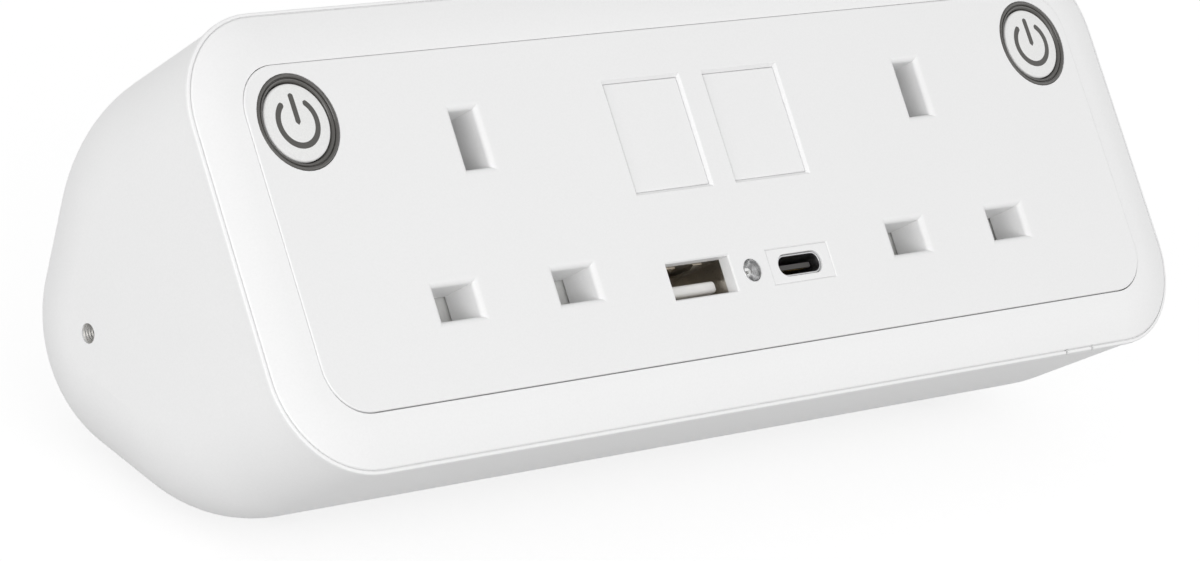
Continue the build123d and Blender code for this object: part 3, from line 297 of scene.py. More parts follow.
def ribbon(spots, lift):
    """Closed strip along spots of (middle, half width), with lift giving its top and underside."""
    form = bmesh.new()
    rows = []
    for at, (middle, half) in enumerate(spots):
        before = spots[max(at - 1, 0)][0]
        after = spots[min(at + 1, len(spots) - 1)][0]
        ahead = (after - before).normalized()
        aside = Vector((-ahead.y, ahead.x)) * half
        edges = (middle + aside, middle - aside)
        rows.append([form.verts.new((p.x, p.y, height)) for p in edges for height in lift(p)])
    for here, there in zip(rows, rows[1:]):
        for one, two in ((0, 2), (2, 3), (3, 1), (1, 0)):
            form.faces.new((here[one], here[two], there[two], there[one]))
    for row in (rows[0], rows[-1]):
        form.faces.new((row[0], row[2], row[3], row[1]))
    return tidy(form)


def eased(node, rounding, widen=0, reach=0, depth=0):
    """Copy of a CAD piece with its front edges rounded, its sides moved out and its front moved forward.

    With a depth, the edges that run back from that far behind the front are rounded as well.
    """
    same_plane, crease = radians(1), radians(30)
    form = bmesh.new()
    form.from_mesh(frame["nodes"][node].data)
    form.transform(FACE.inverted())
    bmesh.ops.remove_doubles(form, verts=form.verts, dist=MERGE)
    bmesh.ops.dissolve_limit(form, angle_limit=same_plane, verts=form.verts, edges=form.edges)
    front = max(vertex.co.z for vertex in form.verts) - MICRON
    ahead = [vertex for vertex in form.verts if vertex.co.z > front - depth]
    reached = any if depth else all
    for axis in (0, 1):
        low = min(vertex.co[axis] for vertex in ahead)
        high = max(vertex.co[axis] for vertex in ahead)
        for vertex in form.verts:
            if abs(vertex.co[axis] - high) < MICRON:
                vertex.co[axis] += widen
            elif abs(vertex.co[axis] - low) < MICRON:
                vertex.co[axis] -= widen
    for vertex in ahead:
        vertex.co.z += reach
    form.normal_update()
    rim = [
        edge for edge in form.edges
        if reached(vertex in ahead for vertex in edge.verts) and edge.calc_face_angle(0) > crease
    ]
    bmesh.ops.bevel(form, geom=rim, offset=rounding, offset_type="OFFSET", segments=4, profile=0.5,
                    affect="EDGES", clamp_overlap=True)
    return tidy(form)


def nudged(name, node, offset):
    """Copy of a CAD piece, with its own normals, whose points are moved by a rule along the face."""
    label = "cad_normal"
    mesh = frame["nodes"][node].data.copy()
    mesh.name = name
    carried = mesh.attributes.new(label, "FLOAT_VECTOR", "CORNER")
    carried.data.foreach_set("vector", np.array([corner.vector for corner in mesh.corner_normals]).ravel())
    form = bmesh.new()
    form.from_mesh(mesh)
    bmesh.ops.remove_doubles(form, verts=form.verts, dist=MERGE)
    into_face = FACE.inverted()
    for vertex in form.verts:
        vertex.co += FACE.to_3x3() @ Vector((*offset(into_face @ vertex.co), 0))
    form.to_mesh(mesh)
    form.free()
    kept = mesh.attributes[label]
    normals = [Vector(corner.vector) for corner in kept.data]
    mesh.attributes.remove(kept)
    mesh.normals_split_custom_set(normals)
    return mesh


def to_mesh(name, place, *forms):
    """Write forms as one smooth-shaded mesh, moved to its place."""
    mesh = bpy.data.meshes.new(name)
    whole = bmesh.new()
    for form in forms:
        form.to_mesh(mesh)
        form.free()
        whole.from_mesh(mesh)
    whole.transform(place)
    whole.to_mesh(mesh)
    whole.free()
    smooth(mesh)
    return even(mesh)


def smooth(mesh):
    """Shade a mesh smooth, up to its sharp edges."""
    mesh.polygons.foreach_set("use_smooth", [True] * len(mesh.polygons))
    mesh.set_sharp_from_angle(angle=radians(35))


def even(mesh):
    """Let broad faces set the normals, so that they shade flat beside rounded edges."""
    holder = bpy.data.objects.new("holder", mesh)
    bpy.context.scene.collection.objects.link(holder)
    holder.modifiers.new("even", "WEIGHTED_NORMAL").keep_sharp = True
    done = bpy.data.meshes.new_from_object(holder.evaluated_get(bpy.context.evaluated_depsgraph_get()))
    name = mesh.name
    bpy.data.objects.remove(holder)
    bpy.data.meshes.remove(mesh)
    done.name = name
    return done


def settle(mesh, body, material):
    """Make a finished mesh a piece that rides on a body."""
    mesh.materials.clear()
    mesh.materials.append(material)
    piece = bpy.data.objects.new(mesh.name, mesh)
    bpy.context.scene.collection.objects.link(piece)
    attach(piece, body)
    return piece


# Shapes that repeat
def start_tree(name, sockets):
    """New geometry tree with named inputs; gives the tree and the outputs of its input node."""
    tree = bpy.data.node_groups.new(name, "GeometryNodeTree")
    for label, kind in sockets.items():
        tree.interface.new_socket(label, in_out="INPUT", socket_type=f"NodeSocket{kind}")
    tree.interface.new_socket("Material", in_out="INPUT", socket_type="NodeSocketMaterial")
    tree.interface.new_socket("Geometry", in_out="OUTPUT", socket_type="NodeSocketGeometry")
    return tree, add(tree, "NodeGroupInput").outputs


def end_tree(tree, given, shape):
    """Realize a tree's instances, set their material and close the tree."""
    real = add(tree, "GeometryNodeRealizeInstances", links={"Geometry": shape})
    dressed = add(tree, "GeometryNodeSetMaterial",
                  links={"Geometry": real.outputs["Geometry"], "Material": given["Material"]})
    add(tree, "NodeGroupOutput", links={"Geometry": dressed.outputs["Geometry"]})


def row_tree():
    """Row of equal strips, each bent along a curve and cut from sheet of one width and thickness."""
    tree, given = start_tree("strip_row", {
        "Count": "Int", "Pitch": "Float", "Width": "Float", "Thickness": "Float",
        "Start": "Vector", "Middle": "Vector", "End": "Vector",
    })
    bend = add(tree, "GeometryNodeCurveQuadraticBezier", values={"Resolution": 12},
               links={key: given[key] for key in ("Start", "Middle", "End")})
    upright = add(tree, "GeometryNodeSetCurveNormal", {"mode": "Z_UP"},
                  links={"Curve": bend.outputs["Curve"]})
    section = add(tree, "GeometryNodeCurvePrimitiveQuadrilateral",
                  links={"Width": given["Width"], "Height": given["Thickness"]})
    strip = add(tree, "GeometryNodeCurveToMesh", values={"Fill Caps": True},
                links={"Curve": upright.outputs["Curve"], "Profile Curve": section.outputs["Curve"]})
    step = add(tree, "ShaderNodeCombineXYZ", links={"X": given["Pitch"]})
    line = add(tree, "GeometryNodeMeshLine",
               links={"Count": given["Count"], "Offset": step.outputs["Vector"]})
    row = add(tree, "GeometryNodeInstanceOnPoints",
              links={"Points": line.outputs["Mesh"], "Instance": strip.outputs["Mesh"]})
    end_tree(tree, given, row.outputs["Instances"])
    return tree


def coil_tree():
    """Coil of wire, or the ridge of a thread where the wire has few sides."""
    tree, given = start_tree("coil", {
        "Turns": "Float", "Radius": "Float", "Height": "Float", "Wire": "Float", "Sides": "Int",
    })
    path = add(tree, "GeometryNodeCurveSpiral", values={"Resolution": 36}, links={
        "Rotations": given["Turns"], "Start Radius": given["Radius"], "End Radius": given["Radius"],
        "Height": given["Height"],
    })
    upright = add(tree, "GeometryNodeSetCurveNormal", {"mode": "Z_UP"},
                  links={"Curve": path.outputs["Curve"]})
    section = add(tree, "GeometryNodeCurvePrimitiveCircle",
                  links={"Resolution": given["Sides"], "Radius": given["Wire"]})
    wire = add(tree, "GeometryNodeCurveToMesh", values={"Fill Caps": True},
               links={"Curve": upright.outputs["Curve"], "Profile Curve": section.outputs["Curve"]})
    end_tree(tree, given, wire.outputs["Mesh"])
    return tree


def grow(tree, name, material, place, **inputs):
    """Run a geometry tree with its inputs set, and keep the result as a plain mesh at its place."""
    holder = bpy.data.objects.new(name, bpy.data.meshes.new("empty"))
    bpy.context.scene.collection.objects.link(holder)
    modifier = holder.modifiers.new(name, "NODES")
    modifier.node_group = tree
    for item in tree.interface.items_tree:
        if item.in_out == "INPUT":
            modifier[item.identifier] = material if item.name == "Material" else inputs[item.name]
    seen = holder.evaluated_get(bpy.context.evaluated_depsgraph_get())
    mesh = bpy.data.meshes.new_from_object(seen)
    mesh.name = name
    holder.modifiers.remove(modifier)
    bpy.data.objects.remove(holder)
    form = bmesh.new()
    form.from_mesh(mesh)
    form.transform(place)
    tidy(form).to_mesh(mesh)
    form.free()
    smooth(mesh)
    return mesh


def join(name, *meshes):
    """One mesh from several."""
    whole = bmesh.new()
    for mesh in meshes:
        whole.from_mesh(mesh)
    joined = bpy.data.meshes.new(name)
    whole.to_mesh(joined)
    whole.free()
    smooth(joined)
    return joined


class MODULE_OT_case(bpy.types.Operator):
    """Finish the housing, bezel, faceplate and blanks"""
    bl_idname = "power_module.case"
    bl_label = "Case"

    def execute(self, context):
        tints = context.scene.module_colours
        sizes = context.scene.module_sizes
        # Even satin white with soft edges to its highlights; grain of 0.1 mm is drawn at 0.35 mm to show
        shell = moulding("abs_spark_eroded_moulded", tints.case, rough=0.42, grain=0.35, depth=0.004)
        finish(shell, "rear_housing")
        lip = nudged("bezel_frame", "front_bezel", self.slits_moved(sizes))
        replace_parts(settle(lip, "module", shell), "front_bezel")
        # A little flatter and greyer than the case, so that the plate reads as its own moulding
        plate = moulding("polycarbonate_satin_moulded", tints.plate, rough=0.46, grain=0.3, depth=0.004,
                         ior=1.58)
        panel = nudged("face_panel", "faceplate", self.edge_raised(sizes))
        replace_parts(settle(panel, "module", plate), "faceplate")
        for side in SIDES:
            form = eased(f"{side}_keystone_blank", rounding=0.2 * MM, widen=0.07 * MM)
            blank = to_mesh(f"{side}_blank", FACE, form)
            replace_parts(settle(blank, "module", plate), f"{side}_keystone_blank")
        infill = to_mesh("usb_c_infill", FACE, eased("usb_c_surround", rounding=0.12 * MM, widen=0.09 * MM))
        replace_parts(settle(infill, "module", plate), "usb_c_surround")
        return {"FINISHED"}

    def slits_moved(self, sizes):
        """Rule that moves the two slits in the lower lip along it."""
        slit_top = span("front_bezel")[0].y + 1.1 * MM
        slits_from, slits_to = 66 * MM, 73 * MM

        def offset(spot):
            in_slit = spot.y < slit_top and slits_from < spot.x < slits_to
            return (-sizes.slit_shift, 0) if in_slit else (0, 0)

        return offset

    def edge_raised(self, sizes):
        """Rule that lifts the plate's lower edge off the bezel, less and less round its corners."""
        bottom = span("faceplate")[0].y
        corner = 6.8 * MM

        def offset(spot):
            return 0, sizes.seam_step * max(0, 1 - (spot.y - bottom) / corner)

        return offset


class MODULE_OT_buttons(bpy.types.Operator):
    """Finish the power buttons and switches, turn their rings and print the power signs"""
    bl_idname = "power_module.buttons"
    bl_label = "Buttons"

    def execute(self, context):
        tints = context.scene.module_colours
        sizes = context.scene.module_sizes
        # Sandy matt white, coarser than the plate round it, which keeps the cap from shining
        sandy = moulding("abs_coarse_grained_moulded", tints.cap, rough=0.5, grain=0.22, depth=0.012,
                         speckle=0.93)
        finish(sandy, *both("power_button"))
        # Dark warm grey with a gloss that draws a bright line along the bead
        smoked = moulding("polycarbonate_smoked_polished", tints.ring, rough=0.24, grain=0.3, depth=0.003,
                          ior=1.58, speckle=0.9)
        # Flat dark print with pale pinholes where the cap's grain breaks it
        ink = moulding("epoxy_ink_pad_printed", tints.sign, rough=0.5, grain=0.16, depth=0.006,
                       ior=1.5, speckle=0.75)
        for side in SIDES:
            low, high = span(f"{side}_button_ring")
            place = FACE @ Matrix.Translation(((low.x + high.x) / 2, (low.y + high.y) / 2, 0))
            ring = to_mesh(f"{side}_ring", place, self.turn_ring(low.z, (high.x - low.x) / 2, sizes))
            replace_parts(settle(ring, "module", smoked), f"{side}_button_ring")
            cap_top = span(f"{side}_power_button")[1].z
            sign = to_mesh(f"{side}_power_sign", place, *self.draw_sign(cap_top, sizes))
            settle(sign, f"{side}_button", ink)
        # Dull black block with a faint mould sheen
        black = moulding("nylon_black_moulded", linear("#1C1C1C"), rough=0.5, grain=0.3, depth=0.006,
                         ior=1.53)
        finish(black, *both("switch_body"))
        # Slick bright white with a waxy gloss
        waxy = moulding("acetal_polished_moulded", linear("#E4E3DF"), rough=0.35, grain=0.3, depth=0.003,
                        ior=1.48)
        finish(waxy, *both("switch_plunger"))
        return {"FINISHED"}

    def turn_ring(self, back, flange, sizes):
        """Ring with a rounded outer bead, a fine groove and an inner slope down to the cap."""
        flange_width = 0.7 * MM
        flange_thickness = 0.8 * MM
        inner = sizes.cap_radius + sizes.ring_clearance
        outer = flange - flange_width
        shelf = back + flange_thickness
        # Distance from the cap, which is then fitted to the ring's width, and height above the plate, in mm
        lip = [
            (0, -0.75), (0.05, -0.5), (0.14, -0.3), (0.26, -0.16), (0.38, -0.1), (0.46, -0.1),
            (0.52, -0.16), (0.56, -0.3), (0.62, -0.3), (0.66, -0.14), (0.72, -0.02), (0.82, 0.06),
            (0.94, 0.09), (1.05, 0.07), (1.14, 0.0), (1.2, -0.1), (1.23, -0.25),
        ]
        reach = (outer - inner) / lip[-1][0]
        outline = [(inner + r * reach, w * MM) for r, w in lip]
        return lathe(outline + [(outer, shelf), (flange, shelf), (flange, back), (inner, back)], steps=128)

    def draw_sign(self, top, sizes):
        """Broken ring with round ends and a bar through its gap, laid on the domed cap."""
        arc_steps, bar_steps = 96, 40
        half = sizes.sign_stroke / 2

        def lift(spot):
            cap = top - sizes.cap_dome * spot.length_squared / sizes.cap_radius ** 2
            return cap + sizes.ink_height, cap - sizes.ink_height

        def rounded(past):
            return max(half ** 2 - max(past, 0) ** 2, 0) ** 0.5

        run = pi - sizes.sign_gap
        tail = half / sizes.sign_radius
        arc = []
        for step in range(arc_steps + 1):
            turn = (run + tail) * (2 * step / arc_steps - 1)
            middle = Vector((sin(turn), -cos(turn))) * sizes.sign_radius
            arc.append((middle, rounded((abs(turn) - run) * sizes.sign_radius)))
        bar = []
        for step in range(bar_steps + 1):
            climb = (sizes.sign_tail + sizes.sign_reach) * step / bar_steps
            up = climb - sizes.sign_tail
            bar.append((Vector((0, up)), min(rounded(up - sizes.sign_reach + half), climb)))
        return ribbon(arc, lift), ribbon(bar, lift)


class MODULE_OT_sockets(bpy.types.Operator):
    """Finish the shutters, carriers and contacts, and wind the shutter springs"""
    bl_idname = "power_module.sockets"
    bl_label = "Sockets"

    def execute(self, context):
        tints = context.scene.module_colours
        # Slightly grey, soft white that stays dim in the depth of the apertures
        soft = moulding("acetal_matte_moulded", tints.shutter, rough=0.5, grain=0.3, depth=0.004, ior=1.48)
        finish(soft, *both("socket_shutter"))
        # Chalky off-white of a filled resin, rougher than the case
        chalky = moulding("polyester_glass_filled_moulded", linear("#DEDEDC"), rough=0.55, grain=0.4,
                          depth=0.008, ior=1.57)
        finish(chalky, *both("socket_carrier"), "cord_clamp")
        # Yellow metal with fine stamping lines across it
        brass = metal("brass_stamped", linear("#C9A35A"), rough=0.32, line=0.25, depth=0.003,
                      stretch=(1, 0.2, 0.2))
        finish(brass, *both("live_contact"), "neutral_bar", "earth_bar", "live_feed_bar",
               "live_terminal", "neutral_terminal", "earth_terminal")
        self.wind_springs(context.scene.module_sizes)
        return {"FINISHED"}

    def wind_springs(self, sizes):
        """Springs with closed end turns."""
        # Grey wire with die lines along it
        steel = metal("spring_steel_drawn", linear("#9A9A9C"), rough=0.3, line=0.1, depth=0.002)
        tree = coil_tree()
        wire = sizes.spring_wire
        closed = 2.2 * wire
        for side in SIDES:
            low, high = span(f"{side}_shutter_spring")
            middle_u, middle_w = (low.x + high.x) / 2, (low.z + high.z) / 2
            radius = (high.x - low.x) / 2 - wire
            foot = inward(middle_u, low.y + wire, middle_w)
            tall = high.y - low.y - 2 * wire - 2 * closed
            runs = ((0, closed, 1), (closed, tall, sizes.spring_turns), (closed + tall, closed, 1))
            turns = [
                grow(tree, "turns", steel, foot @ Matrix.Translation((0, 0, start)),
                     Turns=count, Radius=radius, Height=rise, Wire=wire, Sides=10)
                for start, rise, count in runs
            ]
            spring = settle(join(f"{side}_spring", *turns), "module", steel)
            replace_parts(spring, f"{side}_shutter_spring")
            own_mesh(spring)


class MODULE_OT_ports(bpy.types.Operator):
    """Finish the USB ports with their contacts, build the lamp and finish the charger"""
    bl_idname = "power_module.ports"
    bl_label = "Ports"

    def execute(self, context):
        # Dim warm mirror, streaked across by the rolling of the sheet
        plated = metal("steel_nickel_plated", linear("#D6D0C7"), rough=0.3, line=0.2, depth=0.002,
                       stretch=(0.2, 1, 1))
        finish(plated, "usb_a_shell")
        mouth = to_mesh("usb_c_mouth", FACE, eased("usb_c_shell", rounding=0.13 * MM, reach=0.3 * MM))
        # Cooler and greyer than the nickel beside it, with soft glints on its rolled rim
        tinned = metal("steel_tin_plated", linear("#B4B4B5"), rough=0.3, line=0.2, depth=0.002,
                       stretch=(0.2, 1, 1))
        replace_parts(settle(mouth, "module", tinned), "usb_c_shell")
        # Hard clean white with a dry look
        white = moulding("crystal_polymer_moulded", linear("#F2F1EF"), rough=0.5, grain=0.25, depth=0.004)
        carrier = to_mesh("usb_a_carrier", FACE, eased("usb_a_tongue", rounding=0.55 * MM, depth=2 * MM))
        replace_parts(settle(carrier, "module", white), "usb_a_tongue")
        # Near black with a grey bloom where the light grazes it
        dark = moulding("crystal_polymer_black_moulded", linear("#34322F"), rough=0.5, grain=0.25,
                        depth=0.004)
        finish(dark, "usb_c_tongue")
        tree = row_tree()
        self.fit_contacts(context.scene.module_sizes, plated, tree)
        self.build_lamp(plated, tree)
        # Green lacquer over the weave of the board
        lacquer = moulding("glass_epoxy_lacquered", linear("#17502E"), rough=0.35, grain=0.5, depth=0.004)
        finish(lacquer, "charger_board")
        # Dark sooty grey with a sparkle of crystals
        sooty = moulding("ferrite_sintered", linear("#3A3A3C"), rough=0.6, grain=0.3, depth=0.01, speckle=0.8)
        finish(sooty, "charger_transformer")
        # Smooth dark sleeve with slow ripples where it shrank
        sleeve = moulding("polyester_sleeve_shrunk", linear("#22262C"), rough=0.3, grain=0.8, depth=0.006)
        finish(sleeve, "charger_capacitor")
        return {"FINISHED"}

    def fit_contacts(self, sizes, plated, tree):
        """Sprung contacts and shell fingers in the USB-A port, and rows of pads in the USB-C port."""
        shell_sheet = 0.4 * MM
        finger_pitch = 5.4 * MM
        # Pale gold with a soft shine
        gold = metal("bronze_gold_plated", linear("#D9B765"), rough=0.25, line=0.15, depth=0.002)

        def row(name, material, place, count, pitch, width, thickness, path):
            """Centred row of strips, whose width, thickness and path are in millimetres."""
            start, middle, end = [[part * MM for part in spot] for spot in path]
            return grow(tree, name, material, place @ Matrix.Translation((-pitch * (count - 1) / 2, 0, 0)),
                        Count=count, Pitch=pitch, Width=width * MM, Thickness=thickness * MM,
                        Start=start, Middle=middle, End=end)

        low, high = span("usb_a_tongue")
        top = inward((low.x + high.x) / 2, high.y, high.z)
        contacts = row("usb_a_contacts", gold, top, count=4, pitch=sizes.contact_pitch, width=1.0,
                       thickness=0.15, path=((0, 1.0, 0), (0, 3.0, 0.7), (0, 8.0, 0.02)))
        settle(contacts, "module", gold)
        low, high = span("usb_a_shell")
        roof = inward((low.x + high.x) / 2, high.y - shell_sheet, high.z)
        fingers = row("usb_a_fingers", plated, roof, count=2, pitch=finger_pitch, width=1.8, thickness=0.2,
                      path=((0, 0.9, -0.05), (0, 2.8, -0.95), (0, 6.5, -0.05)))
        settle(fingers, "module", plated)
        low, high = span("usb_c_tongue")
        pads = []
        for level in (low.y, high.y):
            place = inward((low.x + high.x) / 2, level, high.z)
            pads.append(row("pads", gold, place, count=12, pitch=sizes.pad_pitch, width=0.25, thickness=0.05,
                            path=((0, 0.5, 0), (0, 2.3, 0), (0, 4.0, 0))))
        settle(join("usb_c_contacts", *pads), "module", gold)

    def build_lamp(self, plated, tree):
        """Clear lens over a reflector cup with its chip, on two bent leads."""
        flange_width, flange_thickness = 0.4 * MM, 1.0 * MM
        dome_height, dome_steps = 0.3 * MM, 12
        shelf_depth = 2.5 * MM
        foot_height = 0.5 * MM
        lead_pitch, lead = 1.27 * MM, 0.45 * MM
        low, high = span("status_lamp")
        flange = (high.x - low.x) / 2
        middle_u, middle_v = (low.x + high.x) / 2, high.y - flange
        place = FACE @ Matrix.Translation((middle_u, middle_v, 0))
        lens = flange - flange_width
        rim = high.z - dome_height
        shelf = rim - shelf_depth
        under = shelf - flange_thickness
        foot = low.z + foot_height
        turns = [step * pi / (2 * dome_steps) for step in range(dome_steps + 1)]
        dome = [(lens * sin(turn), rim + dome_height * cos(turn)) for turn in turns]
        body = [(0, foot), (lens, foot), (lens, under), (flange, under), (flange, shelf), (lens, shelf)]
        # Water-clear drop, which shows the cup beneath through bright rims
        clear = moulding("epoxy_clear_cast", linear("#FCFCFA"), rough=0.07, grain=0.6, depth=0.001,
                         ior=1.52, speckle=1.0, **{"Transmission Weight": 1.0})
        drop = to_mesh("lamp_lens", place, lathe(body + dome[::-1], steps=64))
        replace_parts(settle(drop, "module", clear), "status_lamp")

        def turned(name, at, outline, steps):
            """Piece turned about the lamp's middle, with its outline in millimetres from the lens's rim."""
            return to_mesh(name, at, lathe([(r * MM, rim + w * MM) for r, w in outline], steps))

        # Bright white metal that gathers the light into the cup
        silver = metal("copper_silver_plated", linear("#C4C4C5"), rough=0.2, line=0.15, depth=0.002)
        cup = [(0, -1.75), (0.55, -1.75), (1.05, -1.0), (1.5, -0.2), (1.56, -0.2), (1.56, -2.2), (0, -2.2)]
        settle(turned("lamp_cup", place, cup, steps=10), "module", silver)
        # Grey glassy square of cut wafer
        wafer = moulding("silicon_diced", linear("#6E6E68"), rough=0.2, grain=0.1, depth=0.001, ior=3.4)
        chip = [(0, -1.5), (0.17, -1.5), (0.2, -1.53), (0.2, -1.75), (0, -1.75)]
        aslant = place @ Matrix.Rotation(radians(30), 4, "Z")
        settle(turned("lamp_chip", aslant, chip, steps=4), "module", wafer)
        top = inward(middle_u - lead_pitch / 2, middle_v, foot)
        leads = grow(tree, "lamp_leads", plated, top, Count=2, Pitch=lead_pitch, Width=lead, Thickness=lead,
                     Start=(0, -0.2 * MM, 0), Middle=(0, 0.28 * MM, 0), End=(0, 0.27 * MM, low.y - middle_v))
        settle(leads, "module", plated)


class MODULE_OT_fittings(bpy.types.Operator):
    """Finish the feet, grommet and screws, and cut the threads behind the end holes"""
    bl_idname = "power_module.fittings"
    bl_label = "Fittings"

    def execute(self, context):
        feet = [f"{end}_{side}_foot" for end in ("front", "rear") for side in SIDES]
        # Dull mid grey with no clear highlight
        rubber = moulding("silicone_rubber_moulded", linear("#4A4A4A"), rough=0.7, grain=0.4, depth=0.01,
                          ior=1.41)
        finish(rubber, *feet)
        # Soft off-white with a skin-like sheen
        skin = moulding("elastomer_moulded", linear("#DCDCDA"), rough=0.6, grain=0.4, depth=0.008, ior=1.5)
        finish(skin, "cable_grommet")
        # Cool bright grey with a fine frosted break in its shine
        frosted = metal("steel_zinc_plated", linear("#B9BABD"), rough=0.33, line=0.2, depth=0.002)
        finish(frosted, "case_screws", "carrier_screws", "clamp_screws", "terminal_screws")
        self.cut_threads(context.scene.module_sizes)
        return {"FINISHED"}

    def cut_threads(self, sizes):
        """Ridges of the fixing thread, from the mouth of each end hole to the bottom of its insert."""
        ridge_size = 0.12 * MM
        mouth_depth, mouth_radius, mouth_ridge_size = 2.2 * MM, 1.4 * MM, 0.13 * MM
        # Grey, dull ridges that catch the light one by one
        worn = metal("zinc_alloy_tapped", linear("#A8A6A2"), rough=0.45, line=0.15, depth=0.003)
        finish(worn, *both("end_insert"))
        tree = coil_tree()
        for side in SIDES:
            fixing = next(m for m in frame["record"]["mounts"] if m["name"] == f"{side}_end_fixing")
            outward = Vector(fixing["axis"]).normalized()
            deep = fixing["dims"]["length_mm"] * MM
            bore = fixing["dims"]["r_mm"] * MM
            turn = outward.to_track_quat("Z", "Y").to_matrix().to_4x4()
            place = Matrix.Translation(Vector(fixing["pos_m"]) - outward * deep / 2) @ turn
            ridge = grow(tree, "ridge", worn, place, Turns=deep / sizes.thread_pitch, Radius=bore,
                         Height=deep, Wire=ridge_size, Sides=4)
            rings = grow(tree, "rings", worn, place @ Matrix.Translation((0, 0, deep)),
                         Turns=mouth_depth / sizes.thread_pitch, Radius=mouth_radius, Height=mouth_depth,
                         Wire=mouth_ridge_size, Sides=4)
            settle(join(f"{side}_thread", ridge, rings), "module", worn)


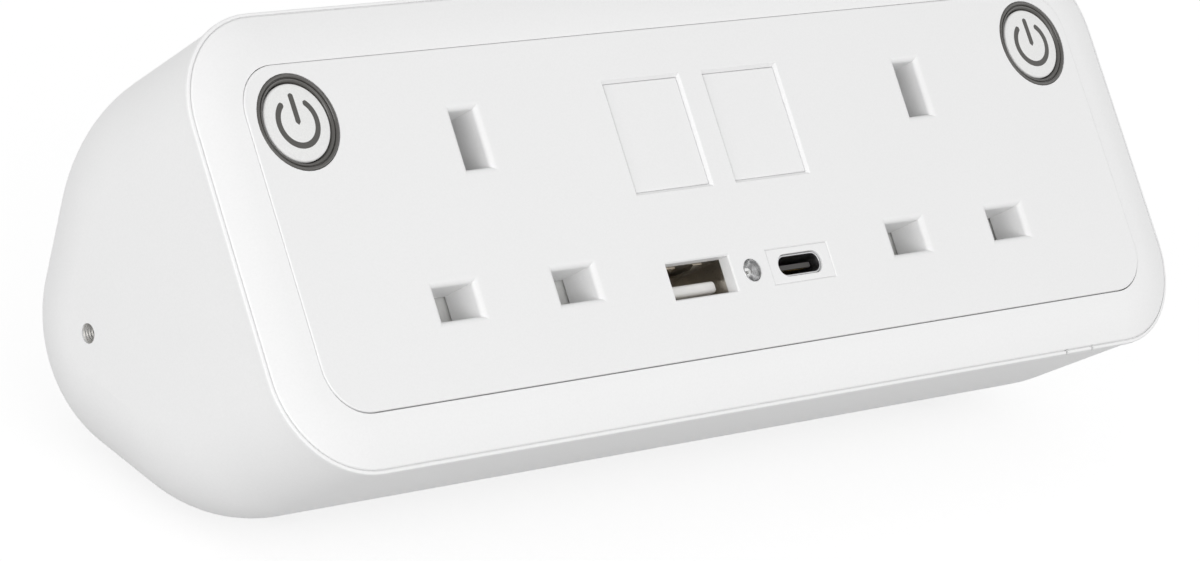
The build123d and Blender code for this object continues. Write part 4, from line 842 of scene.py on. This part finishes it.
class MODULE_OT_studio(bpy.types.Operator):
    """Set the floor, light and camera"""
    bl_idname = "power_module.studio"
    bl_label = "Studio"

    def execute(self, context):
        scene = context.scene
        settings = scene.module_studio
        scene.view_settings.view_transform = "Standard"
        self.set_floor(scene, settings)
        self.set_sky(scene, settings)
        self.set_lamps(scene, settings)
        self.set_camera(scene, settings)
        return {"FINISHED"}

    def set_floor(self, scene, settings):
        """Wide flat floor, whose paler colour is only for rays that look at it."""
        half_width = 6
        sheet = bmesh.new()
        bmesh.ops.create_grid(sheet, x_segments=1, y_segments=1, size=half_width)
        mesh = bpy.data.meshes.new("floor")
        sheet.to_mesh(mesh)
        sheet.free()
        floor = bpy.data.objects.new("floor", mesh)
        scene.collection.objects.link(floor)
        # Flat pale sheet that shows white to the camera and keeps a soft shadow
        paper, tree, shader = start_material("paper_matte_sheet", {
            "Base Color": settings.floor, "Roughness": 0.9, "Specular IOR Level": 0.1,
        })
        shade = add(tree, "ShaderNodeBsdfDiffuse", values={"Color": settings.floor_shade})
        glow = add(tree, "ShaderNodeEmission", values={"Strength": settings.floor_lift})
        white = add(tree, "ShaderNodeAddShader",
                    links={0: shade.outputs["BSDF"], 1: glow.outputs["Emission"]})
        mixed = add(tree, "ShaderNodeMixShader", links={
            0: self.looking(tree), 1: shader.outputs["BSDF"], 2: white.outputs["Shader"],
        })
        tree.links.new(mixed.outputs["Shader"], tree.nodes["Material Output"].inputs["Surface"])
        mesh.materials.append(paper)

    def looking(self, tree):
        """One for rays that look, straight or by mirror or lens, and zero for those that light the module."""
        path = add(tree, "ShaderNodeLightPath")
        share = path.outputs["Is Camera Ray"]
        for kind in ("Is Glossy Ray", "Is Transmission Ray"):
            either = add(tree, "ShaderNodeMath", {"operation": "MAXIMUM"},
                         links={0: share, 1: path.outputs[kind]})
            share = either.outputs["Value"]
        return share

    def set_sky(self, scene, settings):
        """Even light from all round, behind which rays that look see plain white."""
        world = bpy.data.worlds.new("studio")
        scene.world = world
        world.use_nodes = True
        tree = world.node_tree
        tree.nodes.clear()
        dome = add(tree, "ShaderNodeBackground", values={"Color": (1, 1, 1, 1), "Strength": settings.sky})
        backdrop = add(tree, "ShaderNodeBackground", values={"Color": (1, 1, 1, 1), "Strength": 1.0})
        mixed = add(tree, "ShaderNodeMixShader", links={
            0: self.looking(tree), 1: dome.outputs["Background"], 2: backdrop.outputs["Background"],
        })
        add(tree, "ShaderNodeOutputWorld", links={"Surface": mixed.outputs["Shader"]})

    def set_lamps(self, scene, settings):
        """Three soft boxes, each with its power, width and height, and place, all aimed at the module."""
        target = Vector((0, 0, 0.04))
        lamps = {
            "front_softbox": (settings.front_power, (1.4, 0.6), Vector((-0.5, -1.2, 0.4))),
            "right_softbox": (settings.right_power, (0.8, 0.8), Vector((0.9, -0.8, 0.6))),
            "left_softbox": (settings.left_power, (1.1, 0.5), Vector((-1.25, -0.35, 0.3))),
        }
        for name, (watts, size, spot) in lamps.items():
            lamp = bpy.data.lights.new(name, "AREA")
            lamp.shape = "RECTANGLE"
            lamp.size, lamp.size_y = size
            lamp.energy = watts
            box = bpy.data.objects.new(name, lamp)
            box.visible_camera = False
            scene.collection.objects.link(box)
            turn = (target - spot).to_track_quat("-Z", "Y").to_matrix().to_4x4()
            box.matrix_world = Matrix.Translation(spot) @ turn

    def set_camera(self, scene, settings):
        """Camera at the photograph's place and viewing angle."""
        spot = Vector((-0.50162, -0.43223, 0.29830))
        right = Vector((0.71063, -0.65927, 0.24570))
        up = Vector((0.10317, 0.44309, 0.89053))
        forward = Vector((0.69596, 0.60748, -0.38289))
        data = bpy.data.cameras.new("camera")
        data.lens = settings.lens
        data.sensor_width = 36
        data.sensor_fit = "HORIZONTAL"
        data.clip_start = 0.01
        camera = bpy.data.objects.new("camera", data)
        scene.collection.objects.link(camera)
        turn = Matrix((right, up, -forward)).transposed().to_4x4()
        camera.matrix_world = Matrix.Translation(spot) @ turn
        scene.camera = camera


class MODULE_PT_panel(bpy.types.Panel):
    """Lists the sizes, colours and steps that dress the module"""
    bl_idname = "MODULE_PT_panel"
    bl_label = "Power Module"
    bl_space_type = "VIEW_3D"
    bl_region_type = "UI"
    bl_category = "Power Module"

    def draw(self, context):
        scene = context.scene
        for group in (scene.module_sizes, scene.module_colours, scene.module_studio):
            box = self.layout.box()
            for name in group.__annotations__:
                box.prop(group, name)
        for step in STEPS:
            self.layout.operator(step.bl_idname)


STEPS = (
    MODULE_OT_case, MODULE_OT_buttons, MODULE_OT_sockets,
    MODULE_OT_ports, MODULE_OT_fittings, MODULE_OT_studio,
)
GROUPS = {"module_sizes": ModuleSizes, "module_colours": ModuleColours, "module_studio": StudioSettings}


def register():
    for name, group in GROUPS.items():
        bpy.utils.register_class(group)
        setattr(bpy.types.Scene, name, bpy.props.PointerProperty(type=group))
    for step in STEPS:
        bpy.utils.register_class(step)
    bpy.utils.register_class(MODULE_PT_panel)


def unregister():
    bpy.utils.unregister_class(MODULE_PT_panel)
    for step in reversed(STEPS):
        bpy.utils.unregister_class(step)
    for name, group in reversed(GROUPS.items()):
        delattr(bpy.types.Scene, name)
        bpy.utils.unregister_class(group)


def main():
    register()
    bpy.ops.power_module.case()
    bpy.ops.power_module.buttons()
    bpy.ops.power_module.sockets()
    bpy.ops.power_module.ports()
    bpy.ops.power_module.fittings()
    bpy.ops.power_module.studio()
    bpy.context.view_layer.update()


if __name__ == "__main__":
    main()
